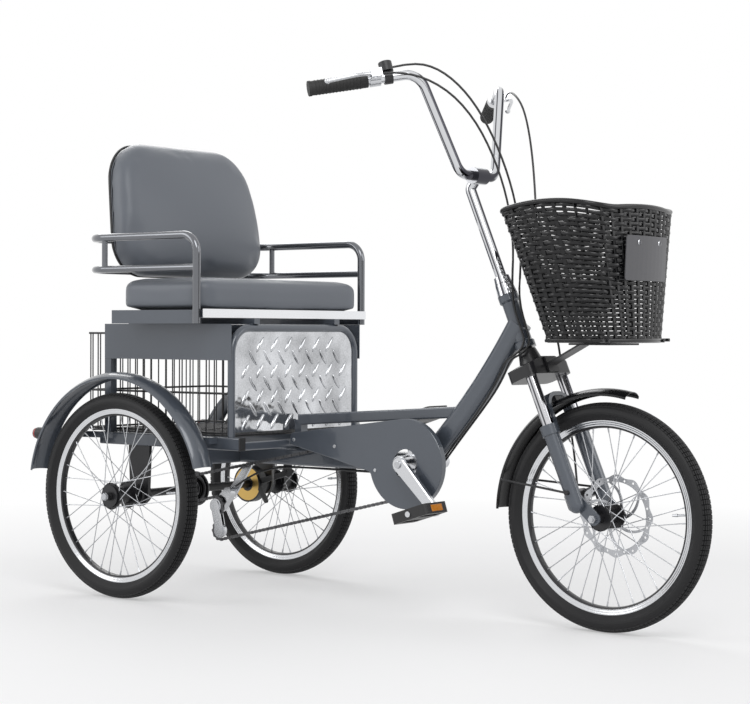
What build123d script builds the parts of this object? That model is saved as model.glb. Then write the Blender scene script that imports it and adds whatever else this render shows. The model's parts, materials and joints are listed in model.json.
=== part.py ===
from build123d import *
import os
from math import asin, atan2, cos, hypot, pi, radians, sin, tan

# Millimetres. Stations run forward from the rear axle, heights up from the ground, +Y is the rider's left.

# Layout
AXLE_Z = 246.0           # axle line, from which the frame's heights are drawn
WHEELBASE = 1167.0
TRACK = 600.0            # between the rear rims' centre planes
WHEEL_ROOM = 70.0        # from those planes in to the side rails
SEAT = 0.2               # gap between pieces that bear on each other
RUN = 0.1                # radial gap of a shaft in its bore
SWING = 5.0              # room beside a piece that moves

# Wheels
TYRE_R = 246.0
TYRE_H = 36.0            # tyre's height over the rim's edge
TYRE_W = 46.0
CROWN_W = 18.0
RIM_W = 25.0
RIM_INNER_W = 15.0
RIM_DEPTH = 18.0
RIM_WALL = 2.2
RIM_BED = 6.0            # depth of the tyre bed below the rim's edge
SPOKES = 36
SPOKE_D = 2.2
SPOKE_CROSS = 60.0       # degrees that a spoke runs ahead of or behind its hub hole
SPOKE_SPLAY = 2.5        # side offset of the spoke holes in the rim
FLANGE_T = 3.0

# Front hub, disc and axle
FRONT_AXLE_R = 5.0
FRONT_FLANGE_R = 28.0
FRONT_FLANGE_Y = 28.0
FRONT_BARREL_R = 15.0
FRONT_END_R = 11.0
ROTOR_BOSS_R = 22.0
NOSE_R = 9.0             # hub beyond the disc
NUT_R = 9.0
NUT_H = 8.0
AXLE_TIP = 12.0          # front axle beyond the fork ends
DROPOUT_Y = 50.0         # inner faces of the fork ends
DROPOUT_T = 6.0
ROTOR_R = 90.0
ROTOR_BAND = 15.0
ROTOR_T = 2.0
ROTOR_Y = 38.0
ROTOR_ARMS = 6
ROTOR_WAVES = 12
ROTOR_WAVE = 4.0         # depth of the waved edge
ROTOR_HUB_R = 24.0
ROTOR_ARM_W = 7.0
ROTOR_ARM_TURN = 14.0

# Rear hubs and axle
AXLE_R = 10.0
AXLE_END_R = 6.0
AXLE_END_L = 10.0
REAR_FLANGE_R = 32.0
REAR_FLANGE_Y = 27.0
REAR_BARREL_R = 21.0
REAR_HUB_HALF = 34.0
REAR_END_R = 26.0
AXLE_OVER = 8.0          # full axle beyond the hubs

# Steering, worked in a frame whose upright is the steering axis
STEER_TILT = 23.0
FORK_OFFSET = 50.0       # front axle ahead of the steering axis
LEG_U = 25.0             # fork legs ahead of the steering axis
LEG_Y = 61.0
LEG_R = 17.0
LEG_BOTTOM = 40.0
LEG_TOP = 222.0
STANCHION_R = 12.5
STANCHION_SUNK = 40.0
ARCH_RISE = 14.0         # bridge between the legs, over the mudguard
ARCH_T = 9.0
ARCH_BEND = 34.0
FORK_TRAVEL = 39.4       # from the bridge to the crown
CROWN_H = 40.0
CROWN_AHEAD = 20.0       # crown's front face ahead of the legs
CROWN_BACK = 24.0        # crown's rear face behind the steering axis
CROWN_SIDE = 19.0        # crown beyond the legs' centre lines
CROWN_FLAT = 27.0        # half width of its level top
CROWN_SLOPE = 15.0       # drop of its shoulders from there
CROWN_CORNER = 16.0
NECK_R = 27.0
COLLAR_H = 22.0          # collars at the tops of the lower legs
COLLAR_LIP = 3.0
DROPOUT_R = 14.0
ARCH_W = 22.0
STEERER_R = 14.2
NECK_H = 36.0            # from the crown to the head tube
HEAD_L = 126.0
HEAD_R = 19.0
HEADSET_R = 23.0
STEERER_OVER = 29.0      # steerer above the head tube
STEM_R = 12.5
STEM_L = 234.0           # straight part of the stem
BAR_R = 11.1
BAR_U = 29.5
BAR_OVER = 17.0          # bar's clamp above the stem's bend
CLAMP_R = 19.0
CLAMP_W = 46.0
GRIP_R = 16.0
GRIP_L = 126.0
LEVER_INSET = 142.0      # brake levers and shifter, in from the bar's tips
LEVER_AHEAD = 28.0
LEVER_HALF = 12.0
LEVER_L = 112.0
LEVER_R = 4.5
LEVER_TIP_R = 6.5
SHIFTER_INSET = 173.0
SHIFTER_R = 15.0
SHIFTER_H = 24.0
PADDLE_L = 34.0
CALIPER = (-28.0, 66.0)  # ahead of and along the steering axis
CALIPER_H = 44.0

# Frame
DOWN_W = 40.0
DOWN_D = 50.0
DOWN_JOIN = (6.9, 58.0)  # its upper end: ahead of the steering axis, and above the head tube's foot
DOWN_FOOT = (28.0, 17.0) # its lower end ahead of and above the crank axle
DOWN_SAG = 12.2          # bow of its curve
RAIL_H = 26.0
RAIL_W = 24.0
RAIL_JOIN = 0.635        # where the rail meets the down tube, as a share of its length
RAIL_REAR = (316.0, 428.0)
BB_BACK = 491.0          # crank axle behind the front axle
BB_Z = 340.0
BB_R = 23.0
BB_HALF = 34.0
BEAM_H = 45.0
BEAM_W = 40.0

# Load frame under the seat
SIDE_RAIL_H = 30.0
SIDE_RAIL_W = 20.0
SIDE_RAIL_Z = 378.0
SIDE_RAIL_X = (-129.0, 328.0)
CROSS_W = 20.0
CROSS_X = {"rear": -108.0, "middle": 125.0, "front": 316.0}
HOOP_X = 296.0
HOOP_R = 9.0
HOOP_BEND = 62.0
PLATE_T = 3.0
PLATE_LOW = 404.0
POST_X = -101.0
POST_W = 20.0
BASKET_REAR = -190.0
WIRE_R = 1.6
RING_WIRE_R = 2.6
WIRE_PITCH = 26.0
MID_WIRE_Z = 494.0
SKIRT_H = 85.0
SKIRT_T = 1.5
HANGER_T = 9.0
HANGER_R = 30.0
HANGER_TOP_W = 70.0
BEARING_HALF = 16.0
BEARER_W = 20.0

# Seat
PLATFORM_Z = 674.0
PLATFORM_T = 16.0
PLATFORM_X = (-40.0, 273.0)
PLATFORM_Y = 295.0
TRIM_T = 2.0
TRIM_LIP = 12.0
TRIM_Y = 304.0           # half length of the bright strip along the seat's front
BOARD_CORNER = 12.0
ANGLE_H = 16.0
ANGLE_T = 3.0
BEARER_H = 13.0
BEARER_Y = 150.0
CUSHION_X = (-12.0, 268.0)
CUSHION_Y = 296.0
CUSHION_H = 74.0
CUSHION_CORNER = 45.0
CUSHION_EDGE = 22.0      # rounding of the cushions' faces
ARM_R = 9.5
ARM_X = (-118.0, 257.0)
ARM_LOW_Z = 788.0
ARM_TOP_Z = 864.0
ARM_BEND = 70.0
POST_BEND = 42.0
BACK_W = 510.0
BACK_H = 332.0
BACK_T = 52.0
BACK_BOARD_T = 10.0
BACK_Z = 780.0
BACK_X = -78.0           # rear face of the board at its foot
BACK_LEAN = 6.0
BACK_CORNER = 95.0
BACK_FOOT_CORNER = 90.0
CLIP_Y = 120.0           # clips on the arm rail behind the backrest
CLIP_W = 24.0
CLIP_H = 98.0

# Mudguards and lamps
GUARD_ROOM = 50.0        # rear mudguards over the tyres
GUARD_W = 62.0
GUARD_LIP = 16.0         # fall of the section from crown to edge
GUARD_EDGE = 5.0         # straight part of that fall
GUARD_T = 2.0
GUARD_ARC = (16.0, 170.0)
FRONT_GUARD_ROOM = 30.0
FRONT_GUARD_W = 58.0
FRONT_GUARD_ARC = (77.0, 179.0)
STAY_R = 2.5
STAY_FOOT = (25.0, 70.0)  # where the front stays meet the fork legs, ahead of and along the steering axis
STAY_ANGLE = 166.0       # where they meet the mudguard
LAMP_R = 15.0
LAMP_L = 24.0
LENS_T = 8.0
LAMP_ANGLE = 152.0

# Drive
CHAIN_Y = -42.0
CHAIN_PITCH = 12.7
CHAIN_W = 6.0
LINK_H = 8.0             # across a link at its pins
LINK_WAIST = 6.0         # across a link between its pins
RING_TEETH = 36
COG_TEETH = 16
PULLEY_TEETH = 11
GUIDE_PULLEY = (78.0, 208.0)
TENSION_PULLEY = (92.0, 148.0)
COG_T = 2.0
COG_STEP = 5.5
COGS = (11.0, 5.5, 0.0, -5.5)     # radius of each cog against the one that carries the chain, inner to outer
RING_T = 3.0
RING_BAND = 12.0
SPIDER_R = 24.0
SPIDER_ARMS = 5
SPIDER_ARM_W = 12.0
SPINDLE_R = 8.5
BOSS_R = (20.0, 17.0)    # crank bosses, right and left
CRANK_L = 140.0
CRANK_ANGLE = -45.0
CRANK_Y = 84.0           # middle of the arms
CRANK_T = 12.0
CRANK_W = 24.0
PEDAL_AXLE_R = 6.5
PEDAL_L = 98.0
PEDAL_W = 84.0
PEDAL_H = 24.0
PEDAL_Y = 100.0          # inner end of the pedals
PEDAL_TILT = 18.0
PEDAL_FRAME = 10.0
PEDAL_CORE = 16.0        # from the pedal's axle to its windows
PEDAL_END = 13.0
CASE_R = 103.0           # chain case round the chainring
CASE_Y = -60.0
CASE_T = 3.0
CASE_HOLE_R = 34.0
CASE_LIP = 12.0          # depth of the wall round its edge
CASE_WALL = 2.0
DRUM_INSET = 54.0        # from the side rail in to the brake drum
DRUM_R = 40.0
DRUM_W = 20.0
BRAKE_COVER_R = 47.0
BRAKE_COVER_T = 2.5
CAGE_R = 13.0            # derailleur's cage round its pulleys
CAGE_T = 2.0
BODY_W = 20.0
HANG_T = 6.0

# Front basket
BASKET_LIFT = 46.3       # basket's floor above the fork crown
BASKET_H = 274.0
BASKET_TOP_AHEAD = (-177.0, 63.0)    # back and front, ahead of the front axle
BASKET_LOW_AHEAD = (-75.0, 51.0)
BASKET_TOP_Y = 174.0
BASKET_LOW_Y = 150.0
BASKET_BULGE = 36.0
BASKET_CORNER = 34.0
BASKET_WALL = 6.0
BASKET_WAVE = 25.0
BAND_COUNT = 14          # woven bands that stand out of the wall
BAND_T = 2.6
BRACKET_T = 4.0
BRACKET_W = 120.0        # shelf under the basket
STRAP_W = 40.0
CABLE_R = 2.5

# Derived places
RIM_R = TYRE_R - TYRE_H
GUARD_R = TYRE_R + GUARD_ROOM
FRONT_GUARD_R = TYRE_R + FRONT_GUARD_ROOM
REAR_REACH = GUARD_R * cos(radians(180.0 - LAMP_ANGLE)) + LAMP_L + LENS_T
BOX_SHIFT = (REAR_REACH - WHEELBASE - TYRE_R) / 2.0
STEER = Pos(WHEELBASE, 0, AXLE_Z) * Rot(0, -STEER_TILT, 0) * Pos(-FORK_OFFSET, 0, 0)
BRIDGE_Z = hypot(FRONT_GUARD_R, FORK_OFFSET - LEG_U) + ARCH_RISE     # along the fork legs, over the mudguard
CROWN_LOW = BRIDGE_Z + ARCH_T / 2.0 + FORK_TRAVEL
CROWN_TOP = CROWN_LOW + CROWN_H
HEAD_LOW = CROWN_TOP + NECK_H
STEERER_TOP = HEAD_LOW + HEAD_L + STEERER_OVER
STEM_BEND = STEERER_TOP + STEM_L
BAR_S = STEM_BEND + BAR_OVER
HUB_Y = TRACK / 2.0
SIDE_Y = HUB_Y - WHEEL_ROOM
DRUM_Y = SIDE_Y - DRUM_INSET
BB_X = WHEELBASE - BB_BACK
RIM_IN_R = RIM_R - RIM_DEPTH
SIDE_RAIL_TOP = SIDE_RAIL_Z + SIDE_RAIL_H / 2.0
SIDE_RAIL_LOW = SIDE_RAIL_Z - SIDE_RAIL_H / 2.0
BEAM_TOP = BB_Z + BEAM_H / 2.0
BEAM_REAR = CROSS_X["middle"] + CROSS_W / 2.0 + SEAT
BEARER_LOW = PLATFORM_Z - SEAT - ANGLE_T - BEARER_H
PLATFORM_TOP = PLATFORM_Z + PLATFORM_T
ARM_Y = PLATFORM_Y + ARM_R + ANGLE_T + SEAT
BAR_TURNS = [(-91.0, 339.0, BAR_S + 244.0), (70.0, 159.0, BAR_S + 219.0), (BAR_U, 68.0, BAR_S)]
BASKET_LOW_Z = (STEER * Pos(0, 0, CROWN_TOP)).position.Z + BASKET_LIFT
BASKET_TOP_Z = BASKET_LOW_Z + BASKET_H
BASKET_TOP_X = [WHEELBASE + ahead for ahead in BASKET_TOP_AHEAD]
BASKET_LOW_X = [WHEELBASE + ahead for ahead in BASKET_LOW_AHEAD]


def pitch_r(teeth):
    return CHAIN_PITCH / (2.0 * sin(pi / teeth))


def rod(start, end, radius):
    run = Vector(end) - Vector(start)
    return Solid.make_cylinder(radius, run.length, Plane(origin=start, z_dir=run))


def tube(points, radii, radius):
    path = FilletPolyline(*points, radius=radii)
    return sweep(Plane(origin=path @ 0, z_dir=path % 0) * Circle(radius), path)


def cable(points, radius=CABLE_R):
    """A tube whose every bend is as wide as its two runs allow."""
    places = [Vector(p) for p in points]
    radii = []
    for before, here, after in zip(places, places[1:], places[2:]):
        turn = radians((here - before).get_angle(after - here))
        radii.append(0.45 * min((here - before).length, (after - here).length) / tan(turn / 2.0))
    return tube(points, radii, radius)


def box(x, y, z):
    """A block between two stations, two widths and two heights."""
    size = [b - a for a, b in (x, y, z)]
    return Pos((x[0] + x[1]) / 2, (y[0] + y[1]) / 2, (z[0] + z[1]) / 2) * Box(*size)


def spun(profile):
    """A full turn about Y of (radius, y) points."""
    return revolve(make_face(Polyline(*profile, close=True)), Axis.Y)


def spun_arc(face, start, end):
    """A part turn about Y of a (radius, y) face, between two angles measured from forward towards up."""
    return Rot(0, -end, 0) * revolve(face, Axis.Y, revolution_arc=end - start)


def upright(profile):
    """A full turn about Z of (radius, z) points."""
    return revolve(Plane.XZ * make_face(Polyline(*profile, close=True)), Axis.Z)


def side_plate(face, y, thickness):
    """A plate along X and Z from a flat face of (x, z), its near side at y, growing to the left."""
    return Pos(0, y + thickness, 0) * extrude(Plane.XZ * face, thickness)


def steer_point(ahead, left, up):
    """A place in the steering frame, as a place on the vehicle."""
    return (STEER * Pos(ahead, left, up)).position


def blend_of(*faces):
    """The flat outline that wraps round the given faces."""
    return make_hull([edge for face in faces for edge in face.edges()])


def both_sides(piece):
    return [piece, mirror(piece, Plane.XZ)]


def save(name, *pieces):
    shapes = [Pos(BOX_SHIFT, 0, TYRE_R - AXLE_Z) * piece for piece in pieces]
    solids = [solid for shape in shapes for solid in shape.solids()]
    whole = solids[0] if len(solids) == 1 else Compound(solids)
    export_step(whole, f"parts/{name}.step")


# Wheels

def tyre():
    edge = RIM_W / 2 - RIM_WALL - SEAT
    half = [(TYRE_R, CROWN_W / 2), (TYRE_R - TYRE_H / 6, CROWN_W / 2 + TYRE_H / 5),
            (RIM_R + TYRE_H / 2, TYRE_W / 2), (RIM_R + SEAT, edge), (RIM_R - RIM_BED + SEAT, edge)]
    return spun([(r, -y) for r, y in half] + [(r, y) for r, y in reversed(half)])


def rim():
    inside = RIM_W / 2 - RIM_WALL
    half = [(RIM_IN_R, RIM_INNER_W / 2), (RIM_R, RIM_W / 2), (RIM_R, inside), (RIM_R - RIM_BED, inside)]
    return spun([(r, -y) for r, y in half] + [(r, y) for r, y in reversed(half)])


def spokes(flange_r, flange_y):
    """Crossed spokes: on each flange, half lie outside it and lead, half lie inside it and trail."""
    pieces = []
    step = 360.0 / (SPOKES / 2)
    start_r = flange_r - SPOKE_D
    end_r = RIM_IN_R - SPOKE_D / 4
    for side in (-1, 1):
        for k in range(SPOKES // 2):
            lead = 1 if k % 2 else -1
            hub_angle = radians(k * step + (side > 0) * step / 2)
            rim_angle = hub_angle + lead * radians(SPOKE_CROSS)
            hub_y = side * (flange_y + lead * (FLANGE_T / 2 + SPOKE_D / 2 + 2 * SEAT))
            start = (start_r * cos(hub_angle), hub_y, start_r * sin(hub_angle))
            end = (end_r * cos(rim_angle), side * SPOKE_SPLAY, end_r * sin(rim_angle))
            pieces.append(rod(start, end, SPOKE_D / 2))
    return pieces


def hub(bore_r, flange_r, flange_y, barrel_r, low_end, high_end):
    """A spool: two flanges on a barrel, with plain ends at low_end and high_end, given as (y, radius)."""
    near, far = flange_y - FLANGE_T / 2, flange_y + FLANGE_T / 2
    profile = [(bore_r, low_end[0]), (low_end[1], low_end[0]), (low_end[1], -far), (flange_r, -far),
               (flange_r, -near), (barrel_r, -near), (barrel_r, near), (flange_r, near), (flange_r, far),
               (high_end[1], far), (high_end[1], high_end[0]), (bore_r, high_end[0])]
    return spun(profile)


def rotor():
    """A braking band with a waved edge, carried by slanted arms."""
    band = Circle(ROTOR_R - ROTOR_WAVE) - Circle(ROTOR_R - ROTOR_BAND)
    for k in range(ROTOR_WAVES):
        wave = Rot(0, 0, k * 360 / ROTOR_WAVES)
        band += wave * Pos(ROTOR_R - ROTOR_BAND / 2 - ROTOR_WAVE, 0) * Circle(ROTOR_BAND / 2 + ROTOR_WAVE)
    band -= Circle(ROTOR_R - ROTOR_BAND - 3)
    arms = Circle(ROTOR_HUB_R)
    for k in range(ROTOR_ARMS):
        turn = Rot(0, 0, k * 360 / ROTOR_ARMS) * Pos(ROTOR_R / 2 - 2, NOSE_R) * Rot(0, 0, ROTOR_ARM_TURN)
        arms += turn * Rectangle(ROTOR_R - 2 * NOSE_R, ROTOR_ARM_W)
    disc = band + (arms & Circle(ROTOR_R - ROTOR_BAND)) - Circle(NOSE_R + SEAT)
    return Pos(0, ROTOR_Y - ROTOR_T / 2, 0) * extrude(Plane.XZ * disc, -ROTOR_T)


def wheels():
    front = Pos(WHEELBASE, 0, AXLE_Z)
    boss_end, nose_end = ROTOR_Y - ROTOR_T / 2 - SEAT, DROPOUT_Y - SEAT
    save("front_tyre", front * tyre())
    save("front_rim", front * rim())
    body = hub(FRONT_AXLE_R + RUN, FRONT_FLANGE_R, FRONT_FLANGE_Y, FRONT_BARREL_R,
               (-nose_end, FRONT_END_R), (boss_end, ROTOR_BOSS_R))
    nose = spun([(FRONT_AXLE_R + RUN, boss_end), (NOSE_R, boss_end), (NOSE_R, nose_end),
                 (FRONT_AXLE_R + RUN, nose_end)])
    save("front_hub", front * (body + nose), *[front * s for s in spokes(FRONT_FLANGE_R, FRONT_FLANGE_Y)])
    save("disc_rotor", front * rotor())
    ends = DROPOUT_Y + DROPOUT_T
    nut = Plane.XZ * extrude(RegularPolygon(NUT_R, 6) - Circle(FRONT_AXLE_R), NUT_H)
    axle = rod((0, -ends - AXLE_TIP, 0), (0, ends + AXLE_TIP, 0), FRONT_AXLE_R)
    nuts = Pos(0, -ends - SEAT, 0) * nut + Pos(0, ends + SEAT + NUT_H, 0) * nut
    save("front_axle", front * (axle + nuts))
    for name, side, bore in (("right", -1, AXLE_R + RUN), ("left", 1, AXLE_R + SEAT / 2)):
        place = Pos(0, side * HUB_Y, AXLE_Z)
        save(f"{name}_tyre", place * tyre())
        save(f"{name}_rim", place * rim())
        body = hub(bore, REAR_FLANGE_R, REAR_FLANGE_Y, REAR_BARREL_R,
                   (-REAR_HUB_HALF, REAR_END_R), (REAR_HUB_HALF, REAR_END_R))
        laced = spokes(REAR_FLANGE_R, REAR_FLANGE_Y)
        save(f"{name}_hub", place * body, *[place * s for s in laced])


def rear_axle():
    reach = HUB_Y + REAR_HUB_HALF + AXLE_OVER
    shaft = rod((0, -reach, 0), (0, reach, 0), AXLE_R)
    ends = rod((0, -reach - AXLE_END_L, 0), (0, reach + AXLE_END_L, 0), AXLE_END_R)
    save("rear_axle", Pos(0, 0, AXLE_Z) * (shaft + ends))


# Steering

def fork():
    """Crown, steerer and slider tubes, then the lower legs with their bridge and wheel ends."""
    crown_half = LEG_Y + CROWN_SIDE
    half = [(0, CROWN_LOW), (crown_half, CROWN_LOW), (crown_half, CROWN_TOP - CROWN_SLOPE),
            (CROWN_FLAT, CROWN_TOP), (0, CROWN_TOP)]
    face = make_face(Polyline(*half, close=True))
    face += mirror(face, Plane.YZ)
    crown = Pos(-CROWN_BACK, 0, 0) * extrude(Plane.YZ * face, CROWN_BACK + LEG_U + CROWN_AHEAD)
    crown = fillet(crown.edges().filter_by(Axis.Z), CROWN_CORNER)
    neck_top = HEAD_LOW - SWING
    neck = upright([(0, CROWN_TOP), (NECK_R, CROWN_TOP), (HEADSET_R - 3, neck_top), (0, neck_top)])
    steerer = rod((0, 0, CROWN_TOP), (0, 0, STEERER_TOP), STEERER_R)
    sliders = [rod((LEG_U, y, LEG_TOP - STANCHION_SUNK), (LEG_U, y, CROWN_LOW + CROWN_H / 2), STANCHION_R)
               for y in (-LEG_Y, LEG_Y)]
    save("fork_upper", STEER * (crown + neck + steerer + sliders))

    leg = rod((LEG_U, LEG_Y, LEG_BOTTOM), (LEG_U, LEG_Y, LEG_TOP), LEG_R)
    collar = rod((LEG_U, LEG_Y, LEG_TOP - COLLAR_H), (LEG_U, LEG_Y, LEG_TOP), LEG_R + COLLAR_LIP)
    toe = Pos(LEG_U, LEG_Y, LEG_BOTTOM) * Sphere(LEG_R)
    pad = Circle(DROPOUT_R)
    end_face = blend_of(Pos(LEG_U, LEG_BOTTOM + DROPOUT_R) * pad, Pos(FORK_OFFSET, 0) * pad)
    end = side_plate(end_face, DROPOUT_Y, DROPOUT_T)
    leg = leg + collar + toe + end
    sunk = LEG_TOP - STANCHION_SUNK - SEAT
    leg -= rod((LEG_U, LEG_Y, sunk), (LEG_U, LEG_Y, LEG_TOP + 1), STANCHION_R + RUN)
    leg -= rod((FORK_OFFSET, DROPOUT_Y - 1, 0), (FORK_OFFSET, DROPOUT_Y + 2 * LEG_R, 0), FRONT_AXLE_R + RUN)
    side, low, top = LEG_Y - LEG_R - 1, LEG_TOP - 16, BRIDGE_Z
    bends = [(LEG_U, -side, low), (LEG_U, -side, top), (LEG_U, side, top), (LEG_U, side, low)]
    path = FilletPolyline(*bends, radius=ARCH_BEND)
    arch = sweep(Plane(origin=path @ 0, z_dir=path % 0, x_dir=(1, 0, 0)) * Rectangle(ARCH_W, ARCH_T), path)
    save("fork_lowers", STEER * (leg + mirror(leg, Plane.XZ) + arch))


def stem_and_bar():
    post = tube([(0, 0, STEERER_TOP + SEAT), (0, 0, STEM_BEND), (BAR_U, 0, BAR_S)], [14.0], STEM_R)
    clamp = rod((BAR_U, -CLAMP_W / 2, BAR_S), (BAR_U, CLAMP_W / 2, BAR_S), CLAMP_R)
    bore = rod((BAR_U, -CLAMP_W, BAR_S), (BAR_U, CLAMP_W, BAR_S), BAR_R + RUN)
    nut = upright([(STEM_R + SEAT, STEERER_TOP + SEAT), (STEM_R + 7, STEERER_TOP + SEAT),
                   (STEM_R + 5, STEERER_TOP + 16), (STEM_R + SEAT, STEERER_TOP + 16)])
    locknut = upright([(STEERER_R + RUN, HEAD_LOW + HEAD_L + 1), (HEADSET_R, HEAD_LOW + HEAD_L + 1),
                       (HEADSET_R - 3, STEERER_TOP - 1), (STEERER_R + RUN, STEERER_TOP - 1)])
    save("stem", STEER * (post + clamp - bore), STEER * nut, STEER * locknut)

    points = BAR_TURNS + [(u, -y, s) for u, y, s in reversed(BAR_TURNS)]
    bar = tube(points, [45.0, 35.0, 35.0, 45.0], BAR_R)
    save("handlebar", STEER * bar)
    grip = rod(*grip_span(0, GRIP_L), GRIP_R) - rod(*grip_span(-10, GRIP_L + 20), BAR_R + RUN)
    cap = rod(*grip_span(-6, -SEAT), GRIP_R + 1)
    save("grips", *[STEER * p for p in both_sides(grip) + both_sides(cap)])


def grip_axis():
    end, bend = Vector(BAR_TURNS[0]), Vector(BAR_TURNS[1])
    return end, (bend - end).normalized()


def grip_span(start, finish):
    """Two points on the left grip's axis, measured inward from the bar's end."""
    end, inward = grip_axis()
    return tuple(end + inward * start), tuple(end + inward * finish)


def on_bar(inset):
    """The left bar end's own frame at a distance in from its tip: x up, y ahead, z outward."""
    end, inward = grip_axis()
    return STEER * Plane(origin=end + inward * inset, z_dir=inward * -1, x_dir=(0, 0, 1)).location


def controls():
    """Brake levers beside both grips, and the gear shifter on the right."""
    hole = Cylinder(BAR_R + RUN, 60)
    ring = Cylinder(BAR_R + 5, 2 * LEVER_HALF) - hole
    block = box((-9, 9), (BAR_R + 3, LEVER_AHEAD + LEVER_HALF), (-LEVER_HALF, LEVER_HALF)) - hole
    pivot = rod((-11, LEVER_AHEAD + 4, 4), (11, LEVER_AHEAD + 4, 4), 5)
    tip = (-8, LEVER_AHEAD + 18, LEVER_L)
    blade = tube([(0, LEVER_AHEAD + 4, 6), (-4, LEVER_AHEAD + 20, 40), tip], [60.0], LEVER_R)
    tip = Pos(*tip) * Sphere(LEVER_TIP_R)
    lever = on_bar(LEVER_INSET) * (ring + block + pivot + blade + tip)
    save("brake_levers", *both_sides(lever))
    band = Cylinder(BAR_R + 4, 18) - hole
    drum = rod((BAR_R + 2, 0, 0), (BAR_R + SHIFTER_H, 0, 0), SHIFTER_R) - hole
    paddle = box((BAR_R + SHIFTER_H / 2, BAR_R + SHIFTER_H - 5), (-PADDLE_L, 0), (-6, 6))
    save("shifter", mirror(on_bar(SHIFTER_INSET) * (band + drum + paddle), Plane.XZ))


def front_mudguard():
    centre = Pos(WHEELBASE, 0, AXLE_Z)
    save("front_mudguard", centre * spun_arc(guard_section(FRONT_GUARD_R, FRONT_GUARD_W), *FRONT_GUARD_ARC))
    angle = radians(STAY_ANGLE)
    out = FRONT_GUARD_R - GUARD_LIP - STAY_R
    foot = steer_point(STAY_FOOT[0], 0, STAY_FOOT[1])
    for_side = LEG_Y + LEG_R + 2 * STAY_R
    guard_side = FRONT_GUARD_W / 2 + STAY_R + SEAT
    top = (WHEELBASE + out * cos(angle), guard_side, AXLE_Z + out * sin(angle) + GUARD_LIP / 2)
    wire = rod(top, (foot.X, for_side, foot.Z), STAY_R)
    eye = rod((foot.X, LEG_Y + LEG_R + SEAT, foot.Z), (foot.X, for_side + STAY_R, foot.Z), 2 * STAY_R)
    pad_z = (BRIDGE_Z - ARCH_RISE - 10, BRIDGE_Z - ARCH_T / 2 - SEAT)
    pad = STEER * box((LEG_U - 9, LEG_U + 9), (-9, 9), pad_z)
    pad -= centre * spun([(0, -20), (FRONT_GUARD_R + SEAT, -20), (FRONT_GUARD_R + SEAT, 20), (0, 20)])
    save("mudguard_stays", *both_sides(wire + eye), pad)


def guard_section(radius, width):
    """A bowed channel with short straight edges, as a face of (radius, y)."""
    edge, bend, half = radius - GUARD_LIP, radius - GUARD_LIP + GUARD_EDGE, width / 2
    inner, crown = half - GUARD_T, radius - GUARD_T
    outside = [Line((edge, -half), (bend, -half)), ThreePointArc((bend, -half), (radius, 0), (bend, half)),
               Line((bend, half), (edge, half))]
    inside = [Line((edge, half), (edge, inner)), Line((edge, inner), (bend, inner)),
              ThreePointArc((bend, inner), (crown, 0), (bend, -inner)), Line((bend, -inner), (edge, -inner)),
              Line((edge, -inner), (edge, -half))]
    return make_face(outside + inside)


def front_caliper():
    """A floating caliper behind the left leg, open over the disc."""
    low, high = ROTOR_Y - ROTOR_T / 2 - 2, ROTOR_Y + ROTOR_T / 2 + 2
    ahead, along = CALIPER
    body_z = (along - CALIPER_H / 2, along + CALIPER_H / 2)
    body = box((ahead - 24, ahead + 16), (low - 6, high + 24), body_z)
    body = fillet(body.edges().filter_by(Axis.Y), 10)
    axle = Pos(FORK_OFFSET, 0, 0)
    body -= axle * spun([(0, low), (ROTOR_R + 4, low), (ROTOR_R + 4, high), (0, high)])
    body -= axle * spun([(0, -60), (ROTOR_R - 20, -60), (ROTOR_R - 20, low), (0, low)])
    lug = box((ahead, LEG_U), (high + 8, LEG_Y + 8), (along - 4, along + 16))
    leg = rod((LEG_U, LEG_Y, -20), (LEG_U, LEG_Y, LEG_TOP), LEG_R + SEAT)
    body -= leg
    lug -= leg
    solid = (body + lug).solids().sort_by(SortBy.VOLUME)[-1]
    save("disc_caliper", STEER * solid)


# Front basket

def basket_face(x, y, inset, z):
    """A plan section: straight back and sides, bowed front, round corners."""
    back, front, side = x[0] + inset, x[1] - inset, y - inset
    bow = ThreePointArc((front, -side), (front + BASKET_BULGE, 0), (front, side))
    rest = Polyline((front, side), (back, side), (back, -side), (front, -side))
    face = make_face([bow, rest])
    return Pos(0, 0, z) * fillet(face.vertices(), BASKET_CORNER - inset)


def basket_form(inset, low, top):
    """The basket's body between two heights, tapering along its own walls."""
    faces = []
    for z in (low, top):
        share = (z - BASKET_LOW_Z) / (BASKET_TOP_Z - BASKET_LOW_Z)
        x = [a + (b - a) * share for a, b in zip(BASKET_LOW_X, BASKET_TOP_X)]
        faces.append(basket_face(x, BASKET_LOW_Y + (BASKET_TOP_Y - BASKET_LOW_Y) * share, inset, z))
    return loft(faces, ruled=True)


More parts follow.
